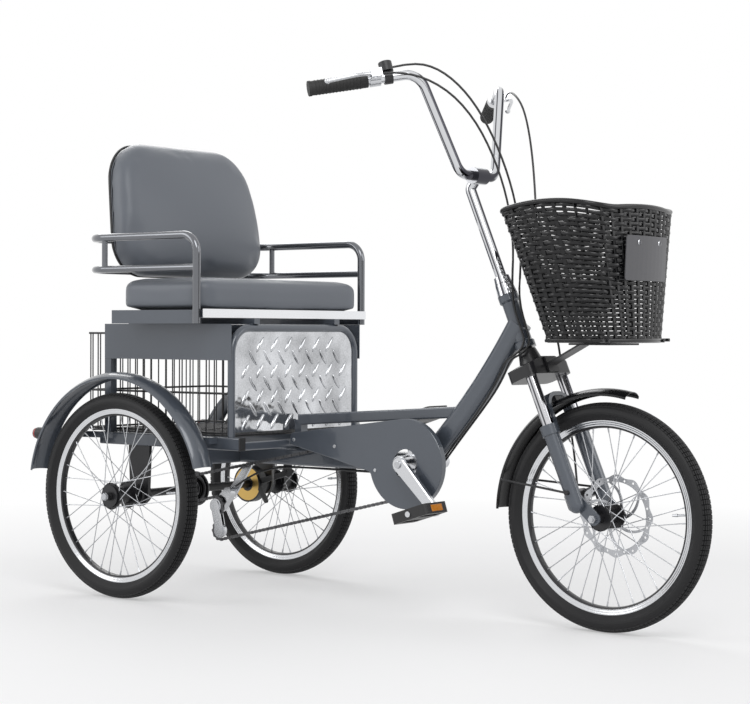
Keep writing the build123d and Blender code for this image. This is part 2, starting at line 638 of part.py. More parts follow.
def front_basket():
    peak = BASKET_TOP_Z + BASKET_WAVE
    over, under = peak + 10, BASKET_LOW_Z - BASKET_H / 2
    walls = basket_form(0, BASKET_LOW_Z, over)
    walls -= basket_form(BASKET_WALL, BASKET_LOW_Z + BASKET_WALL, over + 20)
    middle = (BASKET_TOP_X[0] + BASKET_TOP_X[1] + BASKET_BULGE) / 2
    half = (BASKET_TOP_X[1] + BASKET_BULGE - BASKET_TOP_X[0]) / 2 + 2 * BASKET_WALL
    span = BASKET_TOP_Y + 2 * BASKET_WALL
    side_line = [ThreePointArc((middle - half, BASKET_TOP_Z), (middle, peak), (middle + half, BASKET_TOP_Z)),
                 Polyline((middle + half, BASKET_TOP_Z), (middle + half, under), (middle - half, under),
                          (middle - half, BASKET_TOP_Z))]
    front_line = [ThreePointArc((-span, BASKET_TOP_Z), (0, peak), (span, BASKET_TOP_Z)),
                  Polyline((span, BASKET_TOP_Z), (span, under), (-span, under), (-span, BASKET_TOP_Z))]
    along = extrude(Plane.XZ * make_face(side_line), span, both=True)
    across = Pos(middle, 0, 0) * extrude(Plane.YZ * make_face(front_line), half, both=True)
    save("front_basket", walls & (along + across))

    pitch = (BASKET_TOP_Z - BASKET_LOW_Z) / BAND_COUNT
    bands = []
    for k in range(BAND_COUNT):
        low, top = BASKET_LOW_Z + (k + 0.25) * pitch, BASKET_LOW_Z + (k + 0.75) * pitch
        bands.append(basket_form(-SEAT - BAND_T, low, top) - basket_form(-SEAT, low - 1, top + 1))
    save("basket_weave", *bands)

    shelf_x = (BASKET_LOW_X[0] + 14, BASKET_LOW_X[1] - 10)
    under = BASKET_LOW_Z - SEAT
    shelf = box(shelf_x, (-BRACKET_W / 2, BRACKET_W / 2), (under - BRACKET_T, under))
    crown_face = LEG_U + CROWN_AHEAD + SEAT
    pad_x, pad_z = (crown_face, crown_face + BRACKET_T), (CROWN_LOW + 2, CROWN_TOP - 2)
    pad = STEER * box(pad_x, (-STRAP_W / 2, STRAP_W / 2), pad_z)
    head = steer_point(crown_face + BRACKET_T / 2, 0, CROWN_LOW + CROWN_H / 2)
    neck = blend_of(Pos(head.X, head.Z) * Circle(BRACKET_T / 2),
                    Pos(shelf_x[0] + BRACKET_T, under - BRACKET_T / 2) * Circle(BRACKET_T / 2))
    strap = side_plate(neck, -STRAP_W / 2, STRAP_W)
    save("basket_bracket", shelf + strap + pad)


# Frame

def head_tube():
    top = HEAD_LOW + HEAD_L
    bore = STEERER_R + RUN
    profile = [(bore, HEAD_LOW), (HEADSET_R, HEAD_LOW), (HEADSET_R, HEAD_LOW + 14), (HEAD_R, HEAD_LOW + 18),
               (HEAD_R, top - 18), (HEADSET_R, top - 14), (HEADSET_R, top), (bore, top)]
    save("head_tube", STEER * upright(profile))


def down_path():
    """The down tube's centre line, bowed forward between the head tube and the crank axle."""
    top = steer_point(DOWN_JOIN[0], 0, HEAD_LOW + DOWN_JOIN[1])
    foot = Vector(BB_X + DOWN_FOOT[0], 0, BB_Z + DOWN_FOOT[1])
    run = (top - foot).normalized()
    middle = (top + foot) / 2 + Vector(run.Z, 0, -run.X) * DOWN_SAG
    return ThreePointArc(top, middle, foot)


def down_tube(grow=0.0):
    """The low main tube, curved from the steering head down to the crank housing."""
    path = down_path()
    section = RectangleRounded(DOWN_W + 2 * grow, DOWN_D + 2 * grow, 15)
    return sweep(Plane(origin=path @ 0, z_dir=path % 0, x_dir=(0, 1, 0)) * section, path)


def main_frame():
    head = STEER * rod((0, 0, HEAD_LOW - 60), (0, 0, HEAD_LOW + HEAD_L + 60), HEAD_R + SEAT)
    cups = STEER * rod((0, 0, HEAD_LOW - 60), (0, 0, HEAD_LOW + 18 + SEAT), HEADSET_R + SEAT)
    shell = rod((BB_X, -BB_HALF, BB_Z), (BB_X, BB_HALF, BB_Z), BB_R)
    gap = rod((BB_X, -BB_HALF - 9, BB_Z), (BB_X, BB_HALF + 9, BB_Z), BB_R + SEAT)
    room = box((BEAM_REAR - 9, BB_X), (-BEAM_W, BEAM_W), (BB_Z - BEAM_H, BEAM_TOP + SEAT))
    save("down_tube", (down_tube() - head - cups - gap - room).solids().sort_by(SortBy.VOLUME)[-1])

    beam = Pos((BEAM_REAR + BB_X) / 2, 0, BB_Z) * Box(BB_X - BEAM_REAR, BEAM_W, BEAM_H)
    beam = fillet(beam.edges().filter_by(Axis.X), 9) + shell
    beam -= rod((BB_X, -BB_HALF - 9, BB_Z), (BB_X, BB_HALF + 9, BB_Z), SPINDLE_R + RUN)
    save("main_beam", beam)

    front, rear = down_path() @ RAIL_JOIN, Vector(RAIL_REAR[0], 0, RAIL_REAR[1])
    run = front - rear
    section = Plane(origin=rear, z_dir=run, x_dir=(0, 1, 0)) * RectangleRounded(RAIL_W, RAIL_H, 4)
    rail = extrude(section, run.length)
    foot = box((RAIL_REAR[0] - CROSS_W / 2, RAIL_REAR[0] + CROSS_W / 2), (-RAIL_W / 2, RAIL_W / 2),
               (BEAM_TOP + 2 * SEAT + CROSS_W, RAIL_REAR[1]))
    save("top_rail", (rail + foot - down_tube(SEAT)).solids().sort_by(SortBy.VOLUME)[-1])


# Load frame

def load_frame():
    rail_y = (SIDE_Y - SIDE_RAIL_W / 2, SIDE_Y + SIDE_RAIL_W / 2)
    rail = box(SIDE_RAIL_X, rail_y, (SIDE_RAIL_LOW, SIDE_RAIL_TOP))
    save("side_rails", *both_sides(fillet(rail.edges().filter_by(Axis.X), 4)))

    reach = SIDE_Y - SIDE_RAIL_W / 2 - SEAT
    low = {"rear": SIDE_RAIL_LOW, "middle": BB_Z - BEAM_H / 2, "front": BEAM_TOP + SEAT}
    top = {"rear": SIDE_RAIL_TOP, "middle": SIDE_RAIL_TOP, "front": BEAM_TOP + SEAT + CROSS_W}
    members = []
    for name, x in CROSS_X.items():
        member = box((x - CROSS_W / 2, x + CROSS_W / 2), (-reach, reach), (low[name], top[name]))
        members.append(fillet(member.edges().filter_by(Axis.Y), 4))
    save("cross_members", *members)

    hoop_top = BEARER_LOW - SEAT - HOOP_R
    foot = SIDE_RAIL_TOP + SEAT
    bends = [(-SIDE_Y, foot), (-SIDE_Y, hoop_top), (SIDE_Y, hoop_top), (SIDE_Y, foot)]
    hoop = tube([(HOOP_X, y, z) for y, z in bends], HOOP_BEND, HOOP_R)
    post_x = (POST_X - POST_W / 2, POST_X + POST_W / 2)
    post = box(post_x, (SIDE_Y - POST_W / 2, SIDE_Y + POST_W / 2), (foot, BEARER_LOW - SEAT))
    bar = box(post_x, (-SIDE_Y, SIDE_Y), (BEARER_LOW - SEAT - POST_W, BEARER_LOW - SEAT))
    save("load_posts", hoop, bar + both_sides(post))

    inside = SIDE_Y - HOOP_R - SEAT
    plate_top = hoop_top - HOOP_R - SEAT
    half = [(0, PLATE_LOW), (inside, PLATE_LOW), (inside, plate_top), (0, plate_top)]
    face = make_face(Polyline(*half, close=True))
    corner = face.vertices().sort_by(Axis.Y)[-2:].sort_by(Axis.X)[-1]
    face = fillet(corner, HOOP_BEND - HOOP_R - SEAT)
    face += mirror(face, Plane.YZ)
    save("front_plate", Pos(HOOP_X - PLATE_T / 2, 0, 0) * extrude(Plane.YZ * face, PLATE_T))

    bearer_y = (BEARER_Y - BEARER_W / 2, BEARER_Y + BEARER_W / 2)
    bearer = box((POST_X - POST_W / 2, HOOP_X + HOOP_R), bearer_y, (BEARER_LOW, BEARER_LOW + BEARER_H))
    web_x = (PLATFORM_X[0] + 10, PLATFORM_X[1] - TRIM_LIP - 2)
    flange = box(web_x, (bearer_y[0], PLATFORM_Y + ANGLE_T), (PLATFORM_Z - SEAT - ANGLE_T, PLATFORM_Z - SEAT))
    web = box(web_x, (PLATFORM_Y, PLATFORM_Y + ANGLE_T), (PLATFORM_Z - ANGLE_H, PLATFORM_TOP))
    web -= box(web_x, (0, PLATFORM_Y + SEAT), (PLATFORM_Z - SEAT, PLATFORM_TOP))
    save("seat_bearers", *both_sides(bearer + flange + web))


def grille(x, z, rings, pitch):
    """A flat wire panel in X and Z about y = 0: upright wires held by thicker ring wires."""
    count = int((x[1] - x[0] - 4 * WIRE_R) // pitch)
    first = (x[0] + x[1] - count * pitch) / 2
    panel = [rod((x[0], 0, level), (x[1], 0, level), RING_WIRE_R) for level in rings]
    places = [first + k * pitch for k in range(count + 1)]
    uprights = [rod((place, 0, z[0]), (place, 0, z[1]), WIRE_R) for place in places]
    return panel[0] + panel[1:] + uprights


def cargo_basket():
    low = SIDE_RAIL_TOP + SEAT + RING_WIRE_R
    top = BEARER_LOW - 2 * SEAT - POST_W - RING_WIRE_R
    x = (BASKET_REAR, HOOP_X - HOOP_R - SEAT)
    rings = (low + 2 * RING_WIRE_R, MID_WIRE_Z, top)
    inner = SIDE_Y - POST_W / 2 - RING_WIRE_R - SEAT
    side = grille(x, (low, top), rings, WIRE_PITCH)
    save("right_grille", Pos(0, -inner, 0) * side)
    save("left_grille", Pos(0, inner, 0) * side)
    reach = inner - RING_WIRE_R - SEAT
    back = grille((-reach, reach), (low, top), rings, WIRE_PITCH)
    back_plane = Plane((BASKET_REAR + RING_WIRE_R, 0, 0), x_dir=(0, 1, 0), z_dir=(0, 0, 1))
    save("rear_grille", back_plane.location * back)
    floor_x = (BASKET_REAR + 2 * RING_WIRE_R + SEAT, x[1])
    spread = (floor_x[1] - floor_x[0]) / 2 - RING_WIRE_R
    middle = (floor_x[0] + floor_x[1]) / 2
    floor = grille((-reach, reach), floor_x, (middle - spread, middle, middle + spread), WIRE_PITCH)
    floor_z = SIDE_RAIL_TOP + SEAT + WIRE_R
    save("floor_grille", Plane((0, 0, floor_z), x_dir=(0, 1, 0), z_dir=(1, 0, 0)).location * floor)
    skirt_y = SIDE_Y + POST_W / 2 + SEAT
    skirt = box((POST_X - POST_W / 2, HOOP_X + HOOP_R), (skirt_y, skirt_y + SKIRT_T),
                (BEARER_LOW - SEAT - SKIRT_H, BEARER_LOW - SEAT))
    save("side_skirts", *both_sides(skirt))


def axle_hangers():
    """Plates under the side rails that carry the axle's bearings."""
    top = SIDE_RAIL_LOW - SEAT
    face = blend_of(Pos(0, AXLE_Z) * Circle(HANGER_R), Pos(0, top - 3) * Rectangle(HANGER_TOP_W, 6))
    plate = side_plate(face, SIDE_Y - HANGER_T / 2, HANGER_T)
    boss = rod((0, SIDE_Y - BEARING_HALF, AXLE_Z), (0, SIDE_Y + BEARING_HALF, AXLE_Z), HANGER_R - 6)
    hanger = plate + boss - rod((0, SIDE_Y - 40, AXLE_Z), (0, SIDE_Y + 40, AXLE_Z), AXLE_R + RUN)
    save("axle_hangers", *both_sides(hanger))


# Seat

def seat():
    board = box(PLATFORM_X, (-PLATFORM_Y, PLATFORM_Y), (PLATFORM_Z, PLATFORM_TOP))
    save("seat_board", fillet(board.edges().filter_by(Axis.Z), BOARD_CORNER))
    front = PLATFORM_X[1] + SEAT
    lip_y = PLATFORM_Y - BOARD_CORNER
    trim_z = (PLATFORM_Z - SEAT - TRIM_T, PLATFORM_TOP + SEAT + TRIM_T)
    channel = box((front - TRIM_LIP, front + TRIM_T), (-lip_y, lip_y), trim_z)
    channel -= box((0, front), (-PLATFORM_Y, PLATFORM_Y), (PLATFORM_Z - SEAT, PLATFORM_TOP + SEAT))
    save("seat_trim", channel + box((front, front + TRIM_T), (-TRIM_Y, TRIM_Y), trim_z))
    lift = PLATFORM_TOP + TRIM_T + 2 * SEAT
    pad = box(CUSHION_X, (-CUSHION_Y, CUSHION_Y), (lift, lift + CUSHION_H))
    pad = fillet(pad.edges().filter_by(Axis.Z), CUSHION_CORNER)
    save("seat_cushion", fillet(pad.faces().sort_by(Axis.Z)[-1].edges(), CUSHION_EDGE))


def arm_rails():
    foot = PLATFORM_Z - ANGLE_H
    rear, front = ARM_X
    loop = [(front, -ARM_Y, foot), (front, -ARM_Y, ARM_TOP_Z), (rear, -ARM_Y, ARM_TOP_Z),
            (rear, ARM_Y, ARM_TOP_Z), (front, ARM_Y, ARM_TOP_Z), (front, ARM_Y, foot)]
    rails = tube(loop, [POST_BEND, ARM_BEND, ARM_BEND, POST_BEND], ARM_R)
    lower = [(front, -ARM_Y, ARM_LOW_Z), (rear, -ARM_Y, ARM_LOW_Z), (rear, ARM_Y, ARM_LOW_Z),
             (front, ARM_Y, ARM_LOW_Z)]
    rails += tube(lower, ARM_BEND, ARM_R - 1)
    for x, y in ((rear + ARM_BEND + 4, -ARM_Y), (rear + ARM_BEND + 4, ARM_Y), (rear, -150), (rear, 150)):
        rails += rod((x, y, ARM_LOW_Z), (x, y, ARM_TOP_Z), ARM_R - 2.5)
    return rails


def back_face(width, height, corner, foot_corner):
    """An upright panel, rounder at its top corners, standing on its own foot line."""
    face = Pos(0, height / 2) * Rectangle(width, height)
    upper = face.vertices().sort_by(Axis.Y)[-2:]
    face = fillet(upper, corner)
    lower = face.vertices().group_by(Axis.Y)[0]
    return fillet(lower, foot_corner)


def backrest():
    lean = Pos(BACK_X, 0, BACK_Z) * Rot(0, -BACK_LEAN, 0)
    face = back_face(BACK_W - 20, BACK_H - 14, BACK_CORNER - 8, BACK_FOOT_CORNER - 4)
    board = extrude(Plane.YZ * face, BACK_BOARD_T)
    rails = arm_rails()
    clip = box((ARM_X[0] - BACK_X, 1), (CLIP_Y - CLIP_W / 2, CLIP_Y + CLIP_W / 2), (2, 2 + CLIP_H))
    board = lean * (board + both_sides(clip))
    for z in (ARM_LOW_Z, ARM_TOP_Z):
        board -= rod((ARM_X[0], -BACK_W / 2, z), (ARM_X[0], BACK_W / 2, z), ARM_R + SEAT)
    board -= box((ARM_X[0] - BACK_W, ARM_X[0]), (-BACK_W / 2, BACK_W / 2), (BACK_Z - BACK_H, BACK_Z + BACK_H))
    save("backrest_board", board.solids().sort_by(SortBy.VOLUME)[-1])
    save("armrest_rails", rails)
    pad = extrude(Plane.YZ * back_face(BACK_W, BACK_H, BACK_CORNER, BACK_FOOT_CORNER), BACK_T)
    pad = fillet(pad.faces().sort_by(Axis.X)[-1].edges(), CUSHION_EDGE)
    save("backrest_cushion", lean * Pos(BACK_BOARD_T + SEAT, 0, -7) * pad)


# Rear mudguards and lamps

def rear_mudguards():
    for name, side in (("right", -1), ("left", 1)):
        centre = Pos(0, side * HUB_Y, AXLE_Z)
        guard = centre * spun_arc(guard_section(GUARD_R, GUARD_W), *GUARD_ARC)
        inner = HUB_Y - GUARD_W / 2 - SEAT
        rail_side = SIDE_Y + SIDE_RAIL_W / 2 + SEAT
        angle = asin((SIDE_RAIL_Z + 8 - AXLE_Z) / (GUARD_R - GUARD_LIP / 2))
        x = (GUARD_R - GUARD_LIP / 2) * cos(angle)
        front = box((x - 16, x + 10), (rail_side, inner), (SIDE_RAIL_Z, SIDE_RAIL_TOP))
        end = SIDE_RAIL_X[0]
        strap = [(end + 4, rail_side), (end + 44, rail_side), (8 - x, inner), (-x - 12, inner),
                 (-x - 12, inner - 4), (4 - x, inner - 4), (end, rail_side + 2)]
        strap = make_face(Polyline(*strap, close=True))
        rear = Pos(0, 0, SIDE_RAIL_Z) * extrude(strap, SIDE_RAIL_TOP - SIDE_RAIL_Z)
        tabs = [front, rear] if side > 0 else [mirror(front, Plane.XZ), mirror(rear, Plane.XZ)]
        save(f"{name}_mudguard", guard, *tabs)
    angle = radians(LAMP_ANGLE)
    z = AXLE_Z + GUARD_R * sin(angle)
    x = GUARD_R * cos(angle)
    housing = rod((x + 14, HUB_Y, z), (x - LAMP_L, HUB_Y, z), LAMP_R)
    housing -= Pos(0, HUB_Y, AXLE_Z) * spun([(0, -40), (GUARD_R + SEAT, -40), (GUARD_R + SEAT, 40), (0, 40)])
    lens = rod((x - LAMP_L - SEAT, HUB_Y, z), (x - LAMP_L - LENS_T, HUB_Y, z), LAMP_R - 2)
    save("rear_lamps", *both_sides(housing.solids().sort_by(SortBy.VOLUME)[-1]), *both_sides(lens))


# Drive

def chain_course():
    """The chain's round trip as runs and arcs; a circle is (x, z, radius, turn), with turn +1 to the left."""
    circles = [(BB_X, BB_Z, pitch_r(RING_TEETH), 1), (0.0, AXLE_Z, pitch_r(COG_TEETH), 1),
               (*GUIDE_PULLEY, pitch_r(PULLEY_TEETH), -1), (*TENSION_PULLEY, pitch_r(PULLEY_TEETH), 1)]
    count = len(circles)
    headings = []
    for (x1, z1, r1, t1), (x2, z2, r2, t2) in zip(circles, circles[1:] + circles[:1]):
        apart = hypot(x2 - x1, z2 - z1)
        headings.append(atan2(z2 - z1, x2 - x1) - asin((t2 * r2 - t1 * r1) / apart))
    legs = []
    for k in range(count):
        x, z, r, t = circles[k]
        came, goes = headings[k - 1], headings[k]
        legs.append(("arc", x, z, r, t, came, ((goes - came) * t) % (2 * pi)))
        x2, z2, r2, t2 = circles[(k + 1) % count]
        start = (x + t * r * sin(goes), z - t * r * cos(goes))
        end = (x2 + t2 * r2 * sin(goes), z2 - t2 * r2 * cos(goes))
        legs.append(("run", *start, goes, hypot(end[0] - start[0], end[1] - start[1])))
    return legs


def chain_points():
    """Places and headings along the course, two for each link."""
    legs = chain_course()
    lengths = [leg[3] * leg[6] if leg[0] == "arc" else leg[4] for leg in legs]
    links = 2 * round(sum(lengths) / CHAIN_PITCH / 2)
    step = sum(lengths) / (2 * links)
    points, passed = [], 0.0
    for leg, length in zip(legs, lengths):
        while len(points) * step < passed + length and len(points) < 2 * links:
            at = len(points) * step - passed
            if leg[0] == "run":
                _, x, z, heading, _ = leg
                points.append((x + at * cos(heading), z + at * sin(heading), heading))
            else:
                _, x, z, r, t, came, _ = leg
                heading = came + t * at / r
                points.append((x + t * r * sin(heading), z - t * r * cos(heading), heading))
        passed += length
    return points


def chain():
    outer, inner = [], []
    for k, (x, z, heading) in enumerate(chain_points()):
        half = (LINK_WAIST if k % 2 else LINK_H) / 2
        outer.append((x + half * sin(heading), z - half * cos(heading)))
        inner.append((x - half * sin(heading), z + half * cos(heading)))
    face = make_face(Polyline(*outer, close=True)) - make_face(Polyline(*inner, close=True))
    save("chain", side_plate(face, CHAIN_Y - CHAIN_W / 2, CHAIN_W))


def cog_disc(radius, y, thickness, bore):
    low, high = y - thickness / 2, y + thickness / 2
    return spun([(bore, low), (radius, low), (radius, high), (bore, high)])


def freewheel():
    """A stack of cogs on one body, the chain on the third from the inside."""
    tip = pitch_r(COG_TEETH) - LINK_H / 2 - 2 * SEAT
    stack = cog_disc(tip - 6, CHAIN_Y + COG_STEP / 2, COG_STEP * len(COGS), AXLE_R + SEAT / 2)
    for k, extra in enumerate(COGS):
        radius = tip + extra + (LINK_H / 2 if extra else 0)
        stack += cog_disc(radius, CHAIN_Y + COG_STEP * (2 - k), COG_T, AXLE_R + SEAT / 2)
    save("freewheel", Pos(0, 0, AXLE_Z) * stack)


def crank():
    tip = pitch_r(RING_TEETH) - LINK_H / 2 - 2 * SEAT
    ring = cog_disc(tip, CHAIN_Y, RING_T, tip - RING_BAND)
    spider = Circle(SPIDER_R)
    for k in range(SPIDER_ARMS):
        spider += Rot(0, 0, k * 360 / SPIDER_ARMS + 20) * Pos(tip / 2, 0) * Rectangle(tip - 4, SPIDER_ARM_W)
    web = Pos(0, CHAIN_Y + RING_T / 2, 0) * extrude(Plane.XZ * spider, RING_T)
    spindle = rod((0, -CRANK_Y, 0), (0, CRANK_Y, 0), SPINDLE_R)
    boss = rod((0, -CRANK_Y, 0), (0, CHAIN_Y, 0), BOSS_R[0])
    boss += rod((0, BB_HALF + SEAT, 0), (0, CRANK_Y, 0), BOSS_R[1])
    arm_face = blend_of(Circle(CRANK_W / 2 + 5), Pos(CRANK_L, 0) * Circle(CRANK_W / 2))
    arm = side_plate(arm_face, -CRANK_Y - CRANK_T / 2, CRANK_T)
    arm = chamfer(arm.faces().sort_by(Axis.Y)[0].edges(), 2.0)
    pin = rod((CRANK_L, -CRANK_Y, 0), (CRANK_L, -PEDAL_Y - PEDAL_W - 3, 0), PEDAL_AXLE_R)
    right = Rot(0, -CRANK_ANGLE, 0) * (arm + pin)
    left = Rot(0, 180, 0) * mirror(right, Plane.XZ)
    turned = ring + web + spindle + boss + right + left
    save("crankset", Pos(BB_X, 0, BB_Z) * turned)

    cage = box((-PEDAL_L / 2, PEDAL_L / 2), (0, PEDAL_W), (-PEDAL_H / 2, PEDAL_H / 2))
    cage = fillet(cage.edges().filter_by(Axis.Z), 9)
    window_x = (PEDAL_CORE, PEDAL_L / 2 - PEDAL_END)
    window = box(window_x, (PEDAL_FRAME, PEDAL_W - PEDAL_FRAME), (-PEDAL_H, PEDAL_H))
    cage = cage - window - mirror(window, Plane.YZ)
    cage -= rod((0, -9, 0), (0, PEDAL_W + 9, 0), PEDAL_AXLE_R + RUN)
    cage = Rot(0, -PEDAL_TILT, 0) * Pos(0, PEDAL_Y, 0) * cage
    arm_x, arm_z = CRANK_L * cos(radians(CRANK_ANGLE)), CRANK_L * sin(radians(CRANK_ANGLE))
    save("left_pedal", Pos(BB_X - arm_x, 0, BB_Z - arm_z) * cage)
    save("right_pedal", Pos(BB_X + arm_x, 0, BB_Z + arm_z) * mirror(cage, Plane.XZ))


def chain_case():
    """A cover round the chainring with a tapering tail over the upper run, walled all round its edge."""
    rear, chin = CROSS_X["front"] + CROSS_W / 2 + 6, BB_X - CASE_R
    waist = rear + (chin - rear) / 2
    tail = [(rear, BB_Z + 32), (rear + 6, BB_Z + 59), (BB_X - 10, BB_Z + CASE_R - 0.5), (BB_X, BB_Z),
            (BB_X - 70, BB_Z - 75), (chin, BB_Z - 22), (waist, BB_Z + 6)]
    tail = make_face(Polyline(*tail, close=True))
    face = Pos(BB_X, BB_Z) * Circle(CASE_R) + tail
    panel = side_plate(face - Pos(BB_X, BB_Z) * Circle(CASE_HOLE_R), CASE_Y - CASE_T, CASE_T)
    panel = chamfer(panel.faces().sort_by(Axis.Y)[0].outer_wire().edges(), 1.0)
    wall = side_plate(face - offset(face, -CASE_WALL), CASE_Y, CASE_LIP)
    places = [(waist + 20, BB_Z + 10), (chin - 6, BB_Z - 6)]
    posts = [rod((x, CASE_Y - 1, z), (x, -BEAM_W / 2 - SEAT, z), 6) for x, z in places]
    save("chain_case", panel + wall + posts)


def derailleur():
    """Two pulleys in a cage, hung from a bracket under the main beam's rear end."""
    (x1, z1), (x2, z2) = GUIDE_PULLEY, TENSION_PULLEY
    core = pitch_r(PULLEY_TEETH) - LINK_H / 2 - 2 * SEAT
    face = blend_of(Pos(x1, z1) * Circle(CAGE_R), Pos(x2, z2) * Circle(CAGE_R))
    gap = CHAIN_W / 2 + 1.0
    cheeks = [side_plate(face, CHAIN_Y + gap, CAGE_T), side_plate(face, CHAIN_Y - gap - CAGE_T, CAGE_T)]
    wheels_at = (GUIDE_PULLEY, TENSION_PULLEY)
    pulleys = [rod((x, CHAIN_Y - gap, z), (x, CHAIN_Y + gap, z), core) for x, z in wheels_at]
    knuckle = Pos(x1 + 30, z1 + 34) * Circle(CAGE_R)
    body_y = CHAIN_Y + gap + CAGE_T
    body = side_plate(blend_of(Pos(x1, z1) * Circle(CAGE_R + 3), knuckle), body_y, BODY_W)
    beam_low = BB_Z - BEAM_H / 2
    foot = Pos(CROSS_X["middle"] + 36, beam_low - 6) * Circle(CAGE_R - 4)
    hang = side_plate(blend_of(knuckle, foot), body_y + BODY_W - 1, HANG_T)
    hang -= box((0, BB_X), (-BEAM_W, BEAM_W), (beam_low - SEAT, BEAM_TOP))
    save("derailleur", body + cheeks + pulleys + hang)


def band_brake():
    """A drum on the axle inside a fixed cover that an arm ties to the load frame."""
    low, high = DRUM_Y - DRUM_W / 2, DRUM_Y + DRUM_W / 2
    drum = spun([(AXLE_R + SEAT / 2, low), (DRUM_R, low), (DRUM_R, high), (AXLE_R + SEAT / 2, high)])
    save("brake_drum", Pos(0, 0, AXLE_Z) * drum)
    face = low - 4
    room = BRAKE_COVER_R - BRAKE_COVER_T
    cover = spun([(AXLE_R + 3, face), (BRAKE_COVER_R, face), (BRAKE_COVER_R, high), (room, high),
                  (room, face + BRAKE_COVER_T), (AXLE_R + 3, face + BRAKE_COVER_T)])
    cover = Pos(0, 0, AXLE_Z) * cover
    tie_x = CROSS_X["middle"]
    anchor = box((tie_x - 6, tie_x + 6), (low, high), (AXLE_Z + 26, BB_Z - BEAM_H / 2 - SEAT))
    arm = blend_of(Pos(tie_x, AXLE_Z + 32) * Circle(7), Pos(BRAKE_COVER_R - 6, AXLE_Z + 8) * Circle(7))
    arm = side_plate(arm, face, 5.0)
    arm -= Pos(0, 0, AXLE_Z) * rod((0, face + BRAKE_COVER_T, 0), (0, SIDE_Y, 0), room)
    lever = blend_of(Pos(30, AXLE_Z + 18) * Circle(8), Pos(66, AXLE_Z - 40) * Circle(6))
    lever = side_plate(lever, face - 5, 5.2)
    save("band_brake", cover + anchor + arm + lever)


# Cables

def cables():
    """Outer cables: some turn with the bar, some lie along the frame; they meet beside the head tube."""
    lever = (on_bar(LEVER_INSET) * Pos(0, LEVER_AHEAD, -LEVER_HALF - SEAT)).position
    gear_exit = (on_bar(SHIFTER_INSET) * Pos(BAR_R + 12, 0, -SHIFTER_R - SEAT)).position
    caliper = tuple(steer_point(CALIPER[0], ROTOR_Y + 16, CALIPER[1] + CALIPER_H / 2 + 5 * SEAT))
    split = HEAD_LOW + 30
    left_hand = [tuple(lever), (768, 214, 1205), (810, 178, 1192), (854, 144, 1158), (890, 112, 1104),
                 (918, 86, 1036), (938, 66, 962), (950, 54, 886), (957, 52, 812), (966, 60, 740), (978, 78, 674),
                 (984, 96, 612), (988, 104, 552), (998, 104, 494), (1014, 96, 438), (1032, 82, 386), (1047, 68, 342),
                 caliper]
    right_hand = [(lever.X, -lever.Y, lever.Z), (768, -214, 1205), (812, -176, 1193), (858, -140, 1158),
                  (894, -106, 1102), (920, -78, 1032), (938, -56, 956), (947, -42, 884), (949, -36, 818),
                  (946, -36, 758), (947, -34, 700), tuple(steer_point(24, -34, split + SEAT))]
    gear = [(gear_exit.X, -gear_exit.Y, gear_exit.Z), (768, -164, 1231), (808, -136, 1221), (848, -112, 1188),
            (884, -90, 1138), (914, -68, 1072), (937, -48, 998), (951, -30, 922), (957, -20, 848), (956, -18, 778),
            (953, -21, 712), tuple(steer_point(30, -22, split + SEAT))]
    save("bar_cables", cable(left_hand), cable(right_hand), cable(gear))
    brake = [tuple(steer_point(24, -34, split - SEAT)), (978, -35, 624), (974, -40, 603), (954, -42, 589),
             (925, -32, 577), (900, -18, 543), (872, -11, 504), (840, -10, 463), (800, -10, 416), (759, -10, 369),
             (722, -10, 320), (664, -11, 311), (580, -10, 313), (470, -8, 312.5), (360, -6, 313), (262, 0, 312),
             (206, 26, 306), (164, 70, 292), (128, 116, 264), (99, 142, 236), (74, 152, 212)]
    shift = [tuple(steer_point(30, -22, split - SEAT)), (984, -23, 626), (981, -28, 604), (961, -31, 590),
             (931, -19, 580), (905, -2, 547), (878, 4, 510), (846, 3, 470), (804, 2, 421), (763, 1, 373),
             (718, 0, 317), (660, -1, 311), (576, 0, 313), (466, 2, 312.5), (356, 1, 313), (262, -4, 311),
             (204, -12, 300), (160, -20, 280), (128, -26, 258)]
    save("frame_cables", cable(brake), cable(shift))


os.makedirs("parts", exist_ok=True)
wheels()
rear_axle()
fork()
stem_and_bar()
controls()
front_mudguard()
front_caliper()
front_basket()
head_tube()
main_frame()
load_frame()
cargo_basket()
axle_hangers()
seat()
backrest()
rear_mudguards()
chain()
freewheel()
crank()
chain_case()
derailleur()
band_brake()
cables()
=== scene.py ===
import bpy
import bmesh
import json
from math import asin, atan2, cos, hypot, log, pi, radians, sin
from mathutils import Matrix, Vector


